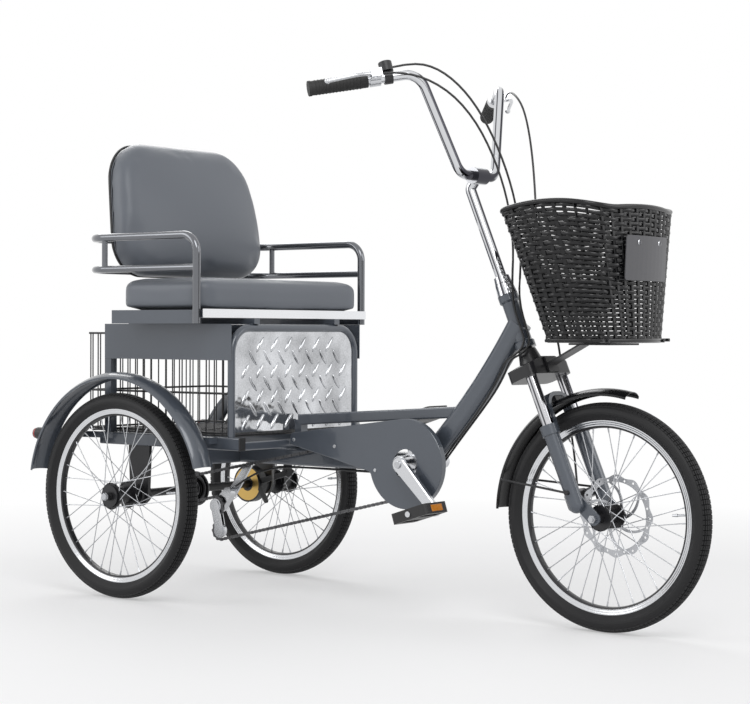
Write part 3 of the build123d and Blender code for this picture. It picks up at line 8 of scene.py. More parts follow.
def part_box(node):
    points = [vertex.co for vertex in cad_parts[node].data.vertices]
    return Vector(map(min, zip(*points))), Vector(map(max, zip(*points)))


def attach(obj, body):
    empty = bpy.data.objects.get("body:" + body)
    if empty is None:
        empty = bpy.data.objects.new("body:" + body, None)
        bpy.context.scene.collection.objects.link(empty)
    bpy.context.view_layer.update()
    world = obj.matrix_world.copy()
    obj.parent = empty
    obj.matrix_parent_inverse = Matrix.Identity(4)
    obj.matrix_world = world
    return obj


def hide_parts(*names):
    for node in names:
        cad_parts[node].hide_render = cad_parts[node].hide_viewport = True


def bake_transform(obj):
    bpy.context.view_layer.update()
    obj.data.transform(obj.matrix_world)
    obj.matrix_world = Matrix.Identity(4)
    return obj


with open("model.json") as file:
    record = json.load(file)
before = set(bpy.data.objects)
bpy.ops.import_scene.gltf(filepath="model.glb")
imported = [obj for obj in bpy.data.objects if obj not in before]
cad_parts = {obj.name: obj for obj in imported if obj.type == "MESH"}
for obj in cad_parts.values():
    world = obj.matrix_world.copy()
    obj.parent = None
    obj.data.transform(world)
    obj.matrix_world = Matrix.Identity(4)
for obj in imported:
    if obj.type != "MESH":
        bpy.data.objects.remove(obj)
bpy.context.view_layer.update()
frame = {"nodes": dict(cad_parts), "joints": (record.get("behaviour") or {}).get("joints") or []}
nodes = frame["nodes"]
scene = bpy.context.scene


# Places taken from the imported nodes
def middleOf(node):
    low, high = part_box(node)
    return (low + high) / 2


def jointNamed(name):
    for joint in frame["joints"]:
        if joint["name"] == name:
            return Vector(joint["pos_m"]), Vector(joint["axis"]).normalized()


frontAxle = middleOf("front_tyre")
rightAxle = middleOf("right_tyre")
leftAxle = middleOf("left_tyre")
tyreRadius = (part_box("front_tyre")[1].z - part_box("front_tyre")[0].z) / 2
rearX = rightAxle.x          # stations along the vehicle are counted forward from the rear axle
steerPoint, steerAxis = jointNamed("steering")
print("frame loaded", len(nodes), "nodes")


def station(x, y, z):
    # millimetres from the rear axle line, centre plane and floor
    return Vector((rearX + x / 1000, y / 1000, z / 1000))


# Shared node groups
def newGroup(name, inputs, outputs):
    group = bpy.data.node_groups.new(name, "ShaderNodeTree")
    for label, kind, value in inputs:
        socket = group.interface.new_socket(label, in_out="INPUT", socket_type=kind)
        socket.default_value = value
    for label, kind in outputs:
        group.interface.new_socket(label, in_out="OUTPUT", socket_type=kind)
    return group, group.nodes.new("NodeGroupInput"), group.nodes.new("NodeGroupOutput")


def wire(tree, source, target):
    tree.links.new(source, target)


def feed(tree, socket, value):
    # a number or colour is set on the socket, an output is wired to it
    if isinstance(value, (int, float, tuple)):
        socket.default_value = value
    else:
        wire(tree, value, socket)


def mathNode(tree, operation, first, second=None):
    node = tree.nodes.new("ShaderNodeMath")
    node.operation = operation
    feed(tree, node.inputs[0], first)
    if second is not None:
        feed(tree, node.inputs[1], second)
    return node.outputs[0]


def vectorNode(tree, operation, first, second):
    node = tree.nodes.new("ShaderNodeVectorMath")
    node.operation = operation
    feed(tree, node.inputs[0], first)
    feed(tree, node.inputs[1], second)
    return node.outputs["Value" if operation == "DOT_PRODUCT" else "Vector"]


def placeNode(tree, label="Object"):
    return tree.nodes.new("ShaderNodeTexCoord").outputs[label]


def noiseNode(tree, vector, scale, detail=3.0, roughness=0.5):
    node = tree.nodes.new("ShaderNodeTexNoise")
    for label, value in (("Vector", vector), ("Scale", scale), ("Detail", detail), ("Roughness", roughness)):
        feed(tree, node.inputs[label], value)
    return node.outputs["Fac"]


def rangeNode(tree, value, low, high, newLow, newHigh):
    node = tree.nodes.new("ShaderNodeMapRange")
    for label, number in (("Value", value), ("From Min", low), ("From Max", high), ("To Min", newLow),
                          ("To Max", newHigh)):
        feed(tree, node.inputs[label], number)
    return node.outputs["Result"]


def mixNode(tree, share, first, second, blend="MIX"):
    node = tree.nodes.new("ShaderNodeMix")
    node.data_type = "RGBA"
    node.blend_type = blend
    # sockets 0, 6 and 7 are the share and the two colours, output 2 the mixed colour
    for index, value in ((0, share), (6, first), (7, second)):
        feed(tree, node.inputs[index], value)
    return node.outputs[2]


def groupNode(tree, group, settings):
    node = tree.nodes.new("ShaderNodeGroup")
    node.node_tree = group
    for label, value in settings.items():
        node.inputs[label].default_value = value
    return node


def seenShare(tree):
    # 1 for what the camera sees directly, in reflections or through glass
    light = tree.nodes.new("ShaderNodeLightPath")
    seen = mathNode(tree, "MAXIMUM", light.outputs["Is Camera Ray"], light.outputs["Is Glossy Ray"])
    return mathNode(tree, "MAXIMUM", seen, light.outputs["Is Transmission Ray"])


# tone: broad and fine patches that shift a colour and its roughness; a little for most finishes, while on the bright
# front plate they are strong dark and bright patches painted on as reflections
def makeToneGroup():
    group, start, end = newGroup("surfaceTone", [
        ("Color", "NodeSocketColor", (0.5, 0.5, 0.5, 1)), ("Shade", "NodeSocketFloat", 0.1),
        ("Roughness", "NodeSocketFloat", 0.4), ("Spread", "NodeSocketFloat", 0.1), ("Scale", "NodeSocketFloat", 8.0)],
        [("Color", "NodeSocketColor"), ("Roughness", "NodeSocketFloat")])
    place = placeNode(group)
    broad = noiseNode(group, place, start.outputs["Scale"], 4.0, 0.55)
    fine = noiseNode(group, place, 240.0, 2.0)
    blended = mathNode(group, "ADD", mathNode(group, "MULTIPLY", broad, 0.75), mathNode(group, "MULTIPLY", fine, 0.25))
    signed = mathNode(group, "SUBTRACT", mathNode(group, "MULTIPLY", blended, 2.0), 1.0)
    level = mathNode(group, "ADD", mathNode(group, "MULTIPLY", signed, start.outputs["Shade"]), 1.0)
    grey = group.nodes.new("ShaderNodeCombineColor")
    for label in ("Red", "Green", "Blue"):
        wire(group, level, grey.inputs[label])
    wire(group, mixNode(group, 1.0, start.outputs["Color"], grey.outputs["Color"], "MULTIPLY"), end.inputs["Color"])
    spread = mathNode(group, "MULTIPLY", signed, start.outputs["Spread"])
    wire(group, mathNode(group, "ADD", spread, start.outputs["Roughness"]), end.inputs["Roughness"])
    return group


# grain: fine pebbling for leatherette, rubber and moulded plastic
def makeGrainGroup():
    group, start, end = newGroup("moulded grain", [("Scale", "NodeSocketFloat", 400.0)],
                                 [("Height", "NodeSocketFloat")])
    place = placeNode(group)
    cells = group.nodes.new("ShaderNodeTexVoronoi")
    for label, value in (("Vector", place), ("Scale", start.outputs["Scale"]), ("Randomness", 0.9)):
        feed(group, cells.inputs[label], value)
    soft = mathNode(group, "MULTIPLY", noiseNode(group, place, 60.0, 3.0), 0.5)
    wire(group, mathNode(group, "ADD", cells.outputs["Distance"], soft), end.inputs["Height"])
    return group


# brushing: streaks drawn out along one direction
def makeBrushGroup():
    group, start, end = newGroup("drawn streaks", [("Along", "NodeSocketVector", (1.0, 1.0, 1.0))],
                                 [("Height", "NodeSocketFloat")])
    stretch = vectorNode(group, "MULTIPLY", placeNode(group), start.outputs["Along"])
    wire(group, noiseNode(group, stretch, 300.0, 2.0), end.inputs["Height"])
    return group


# masks: 1 inside a distance from a wheel's axle, and 1 above a height along the steering axis
def makeRingGroup():
    group, start, end = newGroup("within radius", [
        ("Centre", "NodeSocketVector", (0.0, 0.0, 0.0)), ("Radius", "NodeSocketFloat", 0.03)],
        [("Mask", "NodeSocketFloat")])
    parts = group.nodes.new("ShaderNodeSeparateXYZ")
    wire(group, vectorNode(group, "SUBTRACT", placeNode(group), start.outputs["Centre"]), parts.inputs[0])
    squares = [mathNode(group, "MULTIPLY", parts.outputs[label], parts.outputs[label]) for label in ("X", "Z")]
    away = mathNode(group, "SQRT", mathNode(group, "ADD", *squares))
    wire(group, mathNode(group, "LESS_THAN", away, start.outputs["Radius"]), end.inputs["Mask"])
    return group


def makeAxisGroup():
    group, start, end = newGroup("above height", [
        ("Foot", "NodeSocketVector", (0.0, 0.0, 0.0)), ("Axis", "NodeSocketVector", (0.0, 0.0, 1.0))],
        [("Mask", "NodeSocketFloat")])
    apart = vectorNode(group, "SUBTRACT", placeNode(group), start.outputs["Foot"])
    along = vectorNode(group, "DOT_PRODUCT", apart, start.outputs["Axis"])
    wire(group, mathNode(group, "GREATER_THAN", along, 0.0), end.inputs["Mask"])
    return group


# band: a painted reflection, a dark stripe along bright tubes where the surface turns to one side, standing in for dark
# studio walls seen in chrome
def makePaintedReflectionGroup():
    group, start, end = newGroup("painted reflection band", [
        ("Side", "NodeSocketVector", (1.0, 0.0, 0.0)), ("Middle", "NodeSocketFloat", 0.5),
        ("Half", "NodeSocketFloat", 0.3)], [("Mask", "NodeSocketFloat")])
    turned = vectorNode(group, "DOT_PRODUCT", placeNode(group, "Normal"), start.outputs["Side"])
    apart = mathNode(group, "ABSOLUTE", mathNode(group, "SUBTRACT", turned, start.outputs["Middle"]))
    share = mathNode(group, "DIVIDE", apart, start.outputs["Half"])
    wire(group, rangeNode(group, share, 0.55, 1.0, 1.0, 0.0), end.inputs["Mask"])
    return group


toneGroup = makeToneGroup()
paintedReflectionGroup = makePaintedReflectionGroup()
ringGroup = makeRingGroup()
axisGroup = makeAxisGroup()
grainGroup = makeGrainGroup()
brushGroup = makeBrushGroup()

bumpReach = {"dent": 0.004, "grain": 0.0006, "brush": 0.0006}      # metres at full strength


def finishMaterial(name, color, roughness, metallic=0.0, shade=0.06, spread=0.05, scale=8.0, coat=0.0, coatRough=0.05,
                   grain=None, brush=None, bump=0.1, specular=0.5, sheen=0.0, dent=None, masks=()):
    material = bpy.data.materials.new(name)
    material.use_nodes = True
    tree = material.node_tree
    shader = tree.nodes["Principled BSDF"]
    tone = groupNode(tree, toneGroup, {"Color": (*color, 1), "Shade": shade, "Roughness": roughness, "Spread": spread,
                                       "Scale": scale})
    for label, value in (("Metallic", metallic), ("Coat Weight", coat), ("Coat Roughness", coatRough),
                         ("Specular IOR Level", specular), ("Sheen Weight", sheen)):
        shader.inputs[label].default_value = value
    tint, rough, metal = tone.outputs["Color"], tone.outputs["Roughness"], metallic
    for maskGroup, settings, maskColor, maskRough, maskMetal in masks:
        share = groupNode(tree, maskGroup, settings).outputs["Mask"]
        tint = mixNode(tree, share, tint, (*maskColor, 1))
        rough = rangeNode(tree, share, 0.0, 1.0, rough, maskRough)
        metal = rangeNode(tree, share, 0.0, 1.0, metal, maskMetal)
    for label, value in (("Base Color", tint), ("Roughness", rough), ("Metallic", metal)):
        feed(tree, shader.inputs[label], value)
    height = None
    if grain:
        kind, height = "grain", groupNode(tree, grainGroup, {"Scale": grain}).outputs["Height"]
    elif brush:
        kind, height = "brush", groupNode(tree, brushGroup, {"Along": brush}).outputs["Height"]
    elif dent:
        kind, height = "dent", noiseNode(tree, placeNode(tree), dent, 2.0)
    if height:
        relief = tree.nodes.new("ShaderNodeBump")
        for label, value in (("Strength", bump), ("Distance", bumpReach[kind]), ("Height", height)):
            feed(tree, relief.inputs[label], value)
        wire(tree, relief.outputs["Normal"], shader.inputs["Normal"])
    return material


rearAxle = Vector((rearX, 0, rightAxle.z))
crownFoot = steerPoint + steerAxis * 0.3345      # underside of the fork crown
# a mask's colour, roughness and metal
darkPaint = ((0.013, 0.013, 0.015), 0.30, 0.0)
goldPlate = ((0.60, 0.40, 0.13), 0.30, 1.0)
# painted reflections on chrome: two dark stripes where the surface faces one side
paintedReflectionSide = (0.75, 0.65, -0.12)
chromePaintedReflections = [
    (paintedReflectionGroup, {"Side": paintedReflectionSide, "Middle": 0.62, "Half": 0.30}, (0.05, 0.05, 0.06), 0.10, 1.0),
    (paintedReflectionGroup, {"Side": paintedReflectionSide, "Middle": -0.55, "Half": 0.14}, (0.10, 0.10, 0.11), 0.10, 1.0)]


def hubMask(centre, radius):
    return [(ringGroup, {"Centre": centre, "Radius": radius}, *darkPaint)]


finishSet = {
    "slatePaint": {"color": (0.070, 0.082, 0.102), "roughness": 0.30, "metallic": 0.15, "shade": 0.08, "spread": 0.04,
                   "scale": 10.0, "coat": 0.7, "coatRough": 0.06, "grain": 900.0, "bump": 0.015},
    "gunmetalPaint": {"color": (0.150, 0.156, 0.170), "roughness": 0.16, "metallic": 0.85, "shade": 0.06,
                      "spread": 0.04, "scale": 12.0, "coat": 0.6},
    "blackWire": {"color": (0.012, 0.012, 0.014), "roughness": 0.38, "shade": 0.15, "spread": 0.08,
                  "scale": 30.0, "grain": 1200.0, "bump": 0.06},
    # strong tone: dark and bright patches painted on the plate as reflections; the dents are real bumps
    "paintedReflectionPlate": {"color": (0.56, 0.57, 0.59), "roughness": 0.08, "metallic": 1.0, "shade": 1.0, "spread": 0.03,
                    "scale": 11.0, "dent": 16.0, "bump": 0.6},
    "rolledTrim": {"color": (0.80, 0.81, 0.83), "roughness": 0.20, "metallic": 1.0, "shade": 0.05, "spread": 0.05,
                   "scale": 6.0, "brush": (1.0, 0.02, 1.0), "bump": 0.03},
    # chrome with the painted reflection stripes
    "chromePlate": {"color": (0.66, 0.67, 0.69), "roughness": 0.06, "metallic": 1.0, "shade": 0.02, "spread": 0.03,
                    "scale": 20.0, "masks": chromePaintedReflections},
    "polishedAlloy": {"color": (0.62, 0.63, 0.65), "roughness": 0.22, "metallic": 1.0, "shade": 0.05, "spread": 0.06,
                      "scale": 20.0, "brush": (0.1, 1.0, 0.1), "bump": 0.05},
    "zincSteel": {"color": (0.50, 0.51, 0.53), "roughness": 0.32, "metallic": 1.0, "shade": 0.10, "spread": 0.08,
                  "scale": 40.0},
    "chainSteel": {"color": (0.13, 0.13, 0.135), "roughness": 0.34, "metallic": 1.0, "shade": 0.20, "spread": 0.10,
                   "scale": 60.0},
    "goldDrum": {"color": (0.014, 0.014, 0.015), "roughness": 0.34, "shade": 0.12, "spread": 0.06,
                 "scale": 40.0,
                 "masks": [(ringGroup, {"Centre": rearAxle, "Radius": 0.0425}, *goldPlate)]
                 + hubMask(rearAxle, 0.0185)},
    "frontLacing": {"color": (0.52, 0.53, 0.55), "roughness": 0.28, "metallic": 1.0, "shade": 0.08, "spread": 0.06,
                    "scale": 40.0, "masks": hubMask(frontAxle, 0.0283)},
    "rearLacing": {"color": (0.52, 0.53, 0.55), "roughness": 0.28, "metallic": 1.0, "shade": 0.08, "spread": 0.06,
                   "scale": 40.0, "masks": hubMask(rearAxle, 0.0323)},
    "frontRim": {"color": (0.66, 0.67, 0.69), "roughness": 0.20, "metallic": 1.0, "shade": 0.05, "spread": 0.06,
                 "scale": 20.0, "masks": hubMask(frontAxle, 0.1962)},
    "rearRim": {"color": (0.66, 0.67, 0.69), "roughness": 0.20, "metallic": 1.0, "shade": 0.05, "spread": 0.06,
                "scale": 20.0, "masks": hubMask(rearAxle, 0.1962)},
    # fork tubes: painted reflection stripes on the chrome, and the real dark paint above the crown
    "forkTubes": {"color": (0.62, 0.62, 0.64), "roughness": 0.08, "metallic": 1.0, "shade": 0.02, "spread": 0.03,
                  "scale": 20.0,
                  "masks": chromePaintedReflections + [(axisGroup, {"Foot": crownFoot, "Axis": steerAxis}, *darkPaint)]},
    "mouldedBlack": {"color": (0.016, 0.016, 0.017), "roughness": 0.42, "shade": 0.12, "spread": 0.06,
                     "scale": 30.0, "grain": 1400.0, "bump": 0.10},
    "glossBlack": {"color": (0.005, 0.005, 0.006), "roughness": 0.24, "shade": 0.12, "spread": 0.06,
                   "scale": 30.0, "specular": 0.4},
    "gripRubber": {"color": (0.014, 0.014, 0.014), "roughness": 0.62, "shade": 0.15, "spread": 0.06,
                   "scale": 40.0, "grain": 1600.0, "bump": 0.2},
    "tyreRubber": {"color": (0.010, 0.010, 0.011), "roughness": 0.55, "shade": 0.20, "spread": 0.08,
                   "scale": 24.0, "grain": 700.0, "bump": 0.12, "specular": 0.35},
    "cableSleeve": {"color": (0.011, 0.011, 0.012), "roughness": 0.36, "shade": 0.10, "spread": 0.05,
                    "scale": 30.0},
    "plateGrey": {"color": (0.075, 0.075, 0.082), "roughness": 0.35, "shade": 0.06, "spread": 0.05,
                  "scale": 20.0, "grain": 900.0, "bump": 0.04},
    "amberLens": {"color": (0.62, 0.22, 0.02), "roughness": 0.18, "shade": 0.15, "spread": 0.05,
                  "scale": 60.0, "coat": 0.6, "grain": 500.0, "bump": 0.25},
    "redLens": {"color": (0.45, 0.015, 0.012), "roughness": 0.15, "shade": 0.12, "spread": 0.04,
                "scale": 60.0, "coat": 0.8, "grain": 420.0, "bump": 0.15},
    "seatLeather": {"color": (0.125, 0.138, 0.160), "roughness": 0.40, "shade": 0.05, "spread": 0.05,
                    "scale": 5.0, "grain": 750.0, "bump": 0.14, "specular": 0.45, "sheen": 0.1},
}
finishes = {name: finishMaterial(name, **values) for name, values in finishSet.items()}

nodeFinish = {
    "slatePaint": ["head_tube", "down_tube", "top_rail", "main_beam", "side_rails", "cross_members", "load_posts",
                   "seat_bearers", "side_skirts", "seat_board", "right_mudguard", "left_mudguard", "chain_case",
                   "fork_lowers"],
    "gunmetalPaint": ["armrest_rails"],
    "blackWire": ["right_grille", "left_grille", "rear_grille", "floor_grille", "mudguard_stays", "basket_bracket",
                  "axle_hangers"],
    "paintedReflectionPlate": ["front_plate"],
    "rolledTrim": ["seat_trim"],
    "chromePlate": ["stem", "handlebar"],
    "forkTubes": ["fork_upper"],
    "polishedAlloy": ["brake_levers", "crankset", "derailleur"],
    "frontRim": ["front_rim"],
    "rearRim": ["right_rim", "left_rim"],
    "frontLacing": ["front_hub"],
    "rearLacing": ["right_hub", "left_hub"],
    "zincSteel": ["disc_rotor", "front_axle"],
    "chainSteel": ["freewheel", "chain", "disc_caliper"],
    "goldDrum": ["brake_drum", "band_brake"],
    "mouldedBlack": ["backrest_board", "shifter", "right_pedal", "left_pedal", "rear_lamps", "rear_axle"],
    "glossBlack": ["front_basket", "basket_weave", "front_mudguard"],
    "gripRubber": ["grips"],
    "tyreRubber": ["front_tyre", "right_tyre", "left_tyre"],
    "cableSleeve": ["bar_cables", "frame_cables"],
    "seatLeather": ["seat_cushion", "backrest_cushion"],
}
for finish, members in nodeFinish.items():
    for member in members:
        nodes[member].data.materials.clear()
        nodes[member].data.materials.append(finishes[finish])
print("finishes set", len(finishes))


# Floor, light and camera
def makeFloor():
    floorSet = {"half": 60.0, "color": (0.84, 0.84, 0.85), "rough": 0.6, "specular": 0.15, "lift": 0.35, "clear": 1.3,
                "white": 2.9}
    bm = bmesh.new()
    bmesh.ops.create_grid(bm, x_segments=1, y_segments=1, size=floorSet["half"])
    mesh = bpy.data.meshes.new("studioFloor")
    bm.to_mesh(mesh)
    bm.free()
    floor = bpy.data.objects.new("studioFloor", mesh)
    scene.collection.objects.link(floor)
    material = bpy.data.materials.new("studioFloor")
    material.use_nodes = True
    tree = material.node_tree
    shader = tree.nodes["Principled BSDF"]
    for label, value in (("Base Color", (*floorSet["color"], 1)), ("Roughness", floorSet["rough"]),
                         ("Specular IOR Level", floorSet["specular"])):
        shader.inputs[label].default_value = value
    # the floor fades into the white surround away from the object
    away = tree.nodes.new("ShaderNodeVectorMath")
    away.operation = "LENGTH"
    wire(tree, placeNode(tree), away.inputs[0])
    fade = rangeNode(tree, away.outputs["Value"], floorSet["clear"], floorSet["white"], floorSet["lift"], 1.0)
    glow = tree.nodes.new("ShaderNodeEmission")
    mixed = tree.nodes.new("ShaderNodeMixShader")
    wire(tree, mathNode(tree, "MULTIPLY", fade, seenShare(tree)), mixed.inputs[0])
    wire(tree, shader.outputs[0], mixed.inputs[1])
    wire(tree, glow.outputs[0], mixed.inputs[2])
    wire(tree, mixed.outputs[0], tree.nodes["Material Output"].inputs["Surface"])
    mesh.materials.append(material)


def makeLights():
    # name, place, watts and width
    lamps = [
        ("keyLamp", (2.6, -2.4, 3.6), 70.0, 2.6),
        ("fillLamp", (3.6, 1.6, 2.2), 26.0, 2.2),
        ("backLamp", (-2.6, 1.8, 3.2), 40.0, 2.4),
        ("sideLamp", (-2.4, -3.0, 2.2), 30.0, 2.2),
    ]
    for name, place, power, size in lamps:
        data = bpy.data.lights.new(name, "AREA")
        data.energy = power
        data.shape = "DISK"
        data.size = size
        lamp = bpy.data.objects.new(name, data)
        lamp.location = place
        lamp.rotation_euler = (Vector((0, 0, 0.5)) - Vector(place)).to_track_quat("-Z", "Y").to_euler()
        scene.collection.objects.link(lamp)
    world = bpy.data.worlds.new("studioWorld")
    world.use_nodes = True
    tree = world.node_tree
    background = tree.nodes["Background"]
    background.inputs["Color"].default_value = (1, 1, 1, 1)
    lightLevel, seenLevel = 0.55, 1.0
    wire(tree, rangeNode(tree, seenShare(tree), 0.0, 1.0, lightLevel, seenLevel), background.inputs["Strength"])
    scene.world = world


def makeCamera():
    view = {"place": station(3248.29, -3515.07, 640.87), "yaw": 128.71, "pitch": -0.83, "roll": 0.21,
            "lens": 91.02, "shiftX": 0.0484, "shiftY": 0.0092}
    data = bpy.data.cameras.new("photoCamera")
    data.sensor_width = 36.0
    data.sensor_fit = "HORIZONTAL"
    data.lens = view["lens"]
    data.shift_x, data.shift_y = view["shiftX"], view["shiftY"]
    yaw, pitch = radians(view["yaw"]), radians(view["pitch"])
    ahead = Vector((cos(pitch) * cos(yaw), cos(pitch) * sin(yaw), sin(pitch)))
    camera = bpy.data.objects.new("photoCamera", data)
    turn = ahead.to_track_quat("-Z", "Y").to_matrix().to_4x4() @ Matrix.Rotation(radians(view["roll"]), 4, "Z")
    camera.matrix_world = Matrix.Translation(view["place"]) @ turn
    scene.collection.objects.link(camera)
    scene.camera = camera


makeFloor()
makeLights()
makeCamera()
scene.view_settings.view_transform = "Standard"
print("stage and camera set")


# Pieces
def addPiece(name, bm, finish, body, replaced=(), smooth=True):
    mesh = bpy.data.meshes.new(name)
    bm.to_mesh(mesh)
    bm.free()
    for polygon in mesh.polygons:
        polygon.use_smooth = smooth
    piece = bpy.data.objects.new(name, mesh)
    scene.collection.objects.link(piece)
    mesh.materials.append(finishes[finish])
    if body:
        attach(piece, body)
    if replaced:
        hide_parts(*replaced)
    return piece


def spinLoop(bm, spots, centre, axis, steps, closed=True):
    # a given list of places, joined and turned a full circle about an axis
    verts = [bm.verts.new(spot) for spot in spots]
    pairs = zip(verts, verts[1:] + verts[:1]) if closed else zip(verts, verts[1:])
    edges = [bm.edges.new(pair) for pair in pairs]
    bmesh.ops.spin(bm, geom=verts + edges, cent=centre, axis=axis, angle=2 * pi, steps=steps, use_merge=True)


def spinProfile(bm, profile, centre, steps):
    # a (radius, y) outline turned about the wheel's axle
    spinLoop(bm, [centre + Vector((r, y, 0)) for r, y in profile], centre, (0, 1, 0), steps)
    bmesh.ops.recalc_face_normals(bm, faces=bm.faces[:])


def addBlock(bm, size, place):
    # a box of the given size in millimetres, set by a matrix
    made = bmesh.ops.create_cube(bm, size=1.0)["verts"]
    scale = Matrix.Diagonal([value / 1000 for value in size] + [1])
    bmesh.ops.transform(bm, matrix=place @ scale, verts=made)


def addRod(bm, start, end, radius, segments, tip=None):
    # a capped rod from one place to another
    run = end - start
    made = bmesh.ops.create_cone(bm, cap_ends=True, segments=segments, radius1=radius,
                                 radius2=radius if tip is None else tip, depth=run.length)["verts"]
    turn = run.to_track_quat("Z", "Y").to_matrix().to_4x4()
    bmesh.ops.transform(bm, matrix=Matrix.Translation((start + end) / 2) @ turn, verts=made)


def shownMesh(holder):
    # what an object shows after its modifiers or curve settings
    bpy.context.view_layer.update()
    return bpy.data.meshes.new_from_object(holder.evaluated_get(bpy.context.evaluated_depsgraph_get()))


def curveMesh(curve):
    holder = bpy.data.objects.new(curve.name, curve)
    scene.collection.objects.link(holder)
    mesh = shownMesh(holder)
    bpy.data.objects.remove(holder)
    bm = bmesh.new()
    bm.from_mesh(mesh)
    bpy.data.meshes.remove(mesh)
    return bm


tyreSet = {"steps": 144, "blockRise": 0.0022, "blockGap": 0.0011, "blockBand": 0.0085, "halfWidth": 0.023,
           "beadRadius": 0.2055, "beadHalf": 0.0095, "widest": 0.52, "wrap": 1.15, "arcSteps": 16}
wheelSet = [("front", "front_wheel", frontAxle), ("right", "right_wheel", rightAxle), ("left", "left_wheel", leftAxle)]


def makeTyre(name, node, body, centre):
    crown, bead = tyreRadius - tyreSet["blockRise"], tyreSet["beadRadius"]
    middle = bead + (crown - bead) * tyreSet["widest"]
    arc = []
    for k in range(tyreSet["arcSteps"] + 1):
        angle = pi * tyreSet["wrap"] * (k / tyreSet["arcSteps"] - 0.5)
        arc.append((middle + (crown - middle) * cos(angle), tyreSet["halfWidth"] * sin(angle)))
    outline = [(bead, -tyreSet["beadHalf"])] + arc + [(bead, tyreSet["beadHalf"])]
    bm = bmesh.new()
    spinProfile(bm, outline, centre, tyreSet["steps"])
    blocks = []
    for face in bm.faces:
        spot = face.calc_center_median() - centre
        if hypot(spot.x, spot.z) > crown - tyreSet["blockBand"]:
            blocks.append(face)
    bmesh.ops.inset_individual(bm, faces=blocks, thickness=tyreSet["blockGap"], depth=tyreSet["blockRise"],
                               use_even_offset=True)
    addPiece(name, bm, "tyreRubber", body, [node], smooth=False)


for wheel, wheelBody, wheelCentre in wheelSet:
    makeTyre(wheel + "Tyre", wheel + "_tyre", wheelBody, wheelCentre)
print("tyres made")

# Rims with a grooved brake track, spoke nipples and valves
rimSet = {"edge": 0.210, "inner": 0.192, "half": 0.0125, "innerHalf": 0.0075, "steps": 108, "groove": 0.0006,
          "nippleR": 0.0021, "nippleL": 0.011, "spokes": 36, "cross": 60.0, "splay": 0.0025, "valveR": 0.0026,
          "valveL": 0.034, "capR": 0.0036, "capL": 0.012, "lip": 0.0022, "tracks": 8,
          "bed": ((-0.0012, 0.0), (-0.0010, 0.004)), "well": (0.006, 0.0085)}
flangeSet = {"front": (0.0258, 0.028), "right": (0.0298, 0.027), "left": (0.0298, 0.027)}      # radius, offset


def makeRim(name, node, body, finish, centre, flangeR, flangeY):
    edge, inner, half, innerHalf = rimSet["edge"], rimSet["inner"], rimSet["half"], rimSet["innerHalf"]
    side = [(inner + r, y) for r, y in rimSet["bed"]] + [(inner, innerHalf)]
    for k in range(2, rimSet["tracks"]):
        out = innerHalf + (half - innerHalf) * k / rimSet["tracks"]
        side.append((inner + (edge - inner) * k / rimSet["tracks"], out - (rimSet["groove"] if k % 2 else 0.0)))
    lip = half - rimSet["lip"]
    side += [(edge, half), (edge, lip), (edge - rimSet["well"][0], lip), (edge - rimSet["well"][1], 0.0)]
    outline = [(r, -y) for r, y in reversed(side)] + [(r, y) for r, y in side if y > 0]
    bm = bmesh.new()
    spinProfile(bm, outline, centre, rimSet["steps"])
    addPiece(name, bm, finish, body, [node], smooth=False)
    bm = bmesh.new()
    step = 2 * pi / (rimSet["spokes"] / 2)
    for flank in (-1, 1):
        for k in range(rimSet["spokes"] // 2):
            lead = 1 if k % 2 else -1
            hubAngle = k * step + (flank > 0) * step / 2
            rimAngle = hubAngle + lead * radians(rimSet["cross"])
            start = Vector((flangeR * cos(hubAngle), flank * flangeY, flangeR * sin(hubAngle)))
            end = Vector((inner * cos(rimAngle), flank * rimSet["splay"], inner * sin(rimAngle)))
            back = (end - start).normalized() * rimSet["nippleL"]
            addRod(bm, centre + end - back, centre + end, rimSet["nippleR"] * 0.8, 8, rimSet["nippleR"])
    valve = Vector((cos(step / 4), 0, sin(step / 4)))
    tip = centre + valve * (inner - rimSet["valveL"])
    addRod(bm, tip, centre + valve * inner, rimSet["valveR"], 12)
    addRod(bm, tip, tip + valve * rimSet["capL"], rimSet["capR"] * 0.7, 12, rimSet["capR"])
    addPiece(name + "Nipples", bm, "zincSteel", body, (), smooth=False)


for wheel, wheelBody, wheelCentre in wheelSet:
    rimFinish = "frontRim" if wheel == "front" else "rearRim"
    makeRim(wheel + "Hoop", wheel + "_rim", wheelBody, rimFinish, wheelCentre, *flangeSet[wheel])
print("rims laced")


# Brake disc: waved edge, drilled band and swept arms, cut from one flat outline
discSet = {"y": 38.0, "thick": 2.0, "edge": 87.0, "wave": 2.8, "waves": 12, "steps": 240, "bandIn": 74.0, "hub": 26.0,
           "bore": 10.0, "arms": 6, "armWide": 7.5, "armSteps": 10, "sweep": 42.0, "holes": 24, "holeR": 2.7,
           "holeAt": (83.0, 78.5)}


def windowLoop(first, last):
    # the opening between two swept arms, as (radius, angle) points
    hub, band, wide = discSet["hub"], discSet["bandIn"], discSet["armWide"]

    def armEdge(angle, half, share):
        radius = hub + (band - hub) * share
        return radius, angle + radians(discSet["sweep"]) * share + half * wide / radius

    shares = [step / discSet["armSteps"] for step in range(discSet["armSteps"] + 1)]
    near = [armEdge(first, 0.5, share) for share in shares]
    far = [armEdge(last, -0.5, share) for share in reversed(shares)]
    start, end = near[-1][1], far[0][1]
    return near + [(band, start + (end - start) * step / 8) for step in range(1, 8)] + far


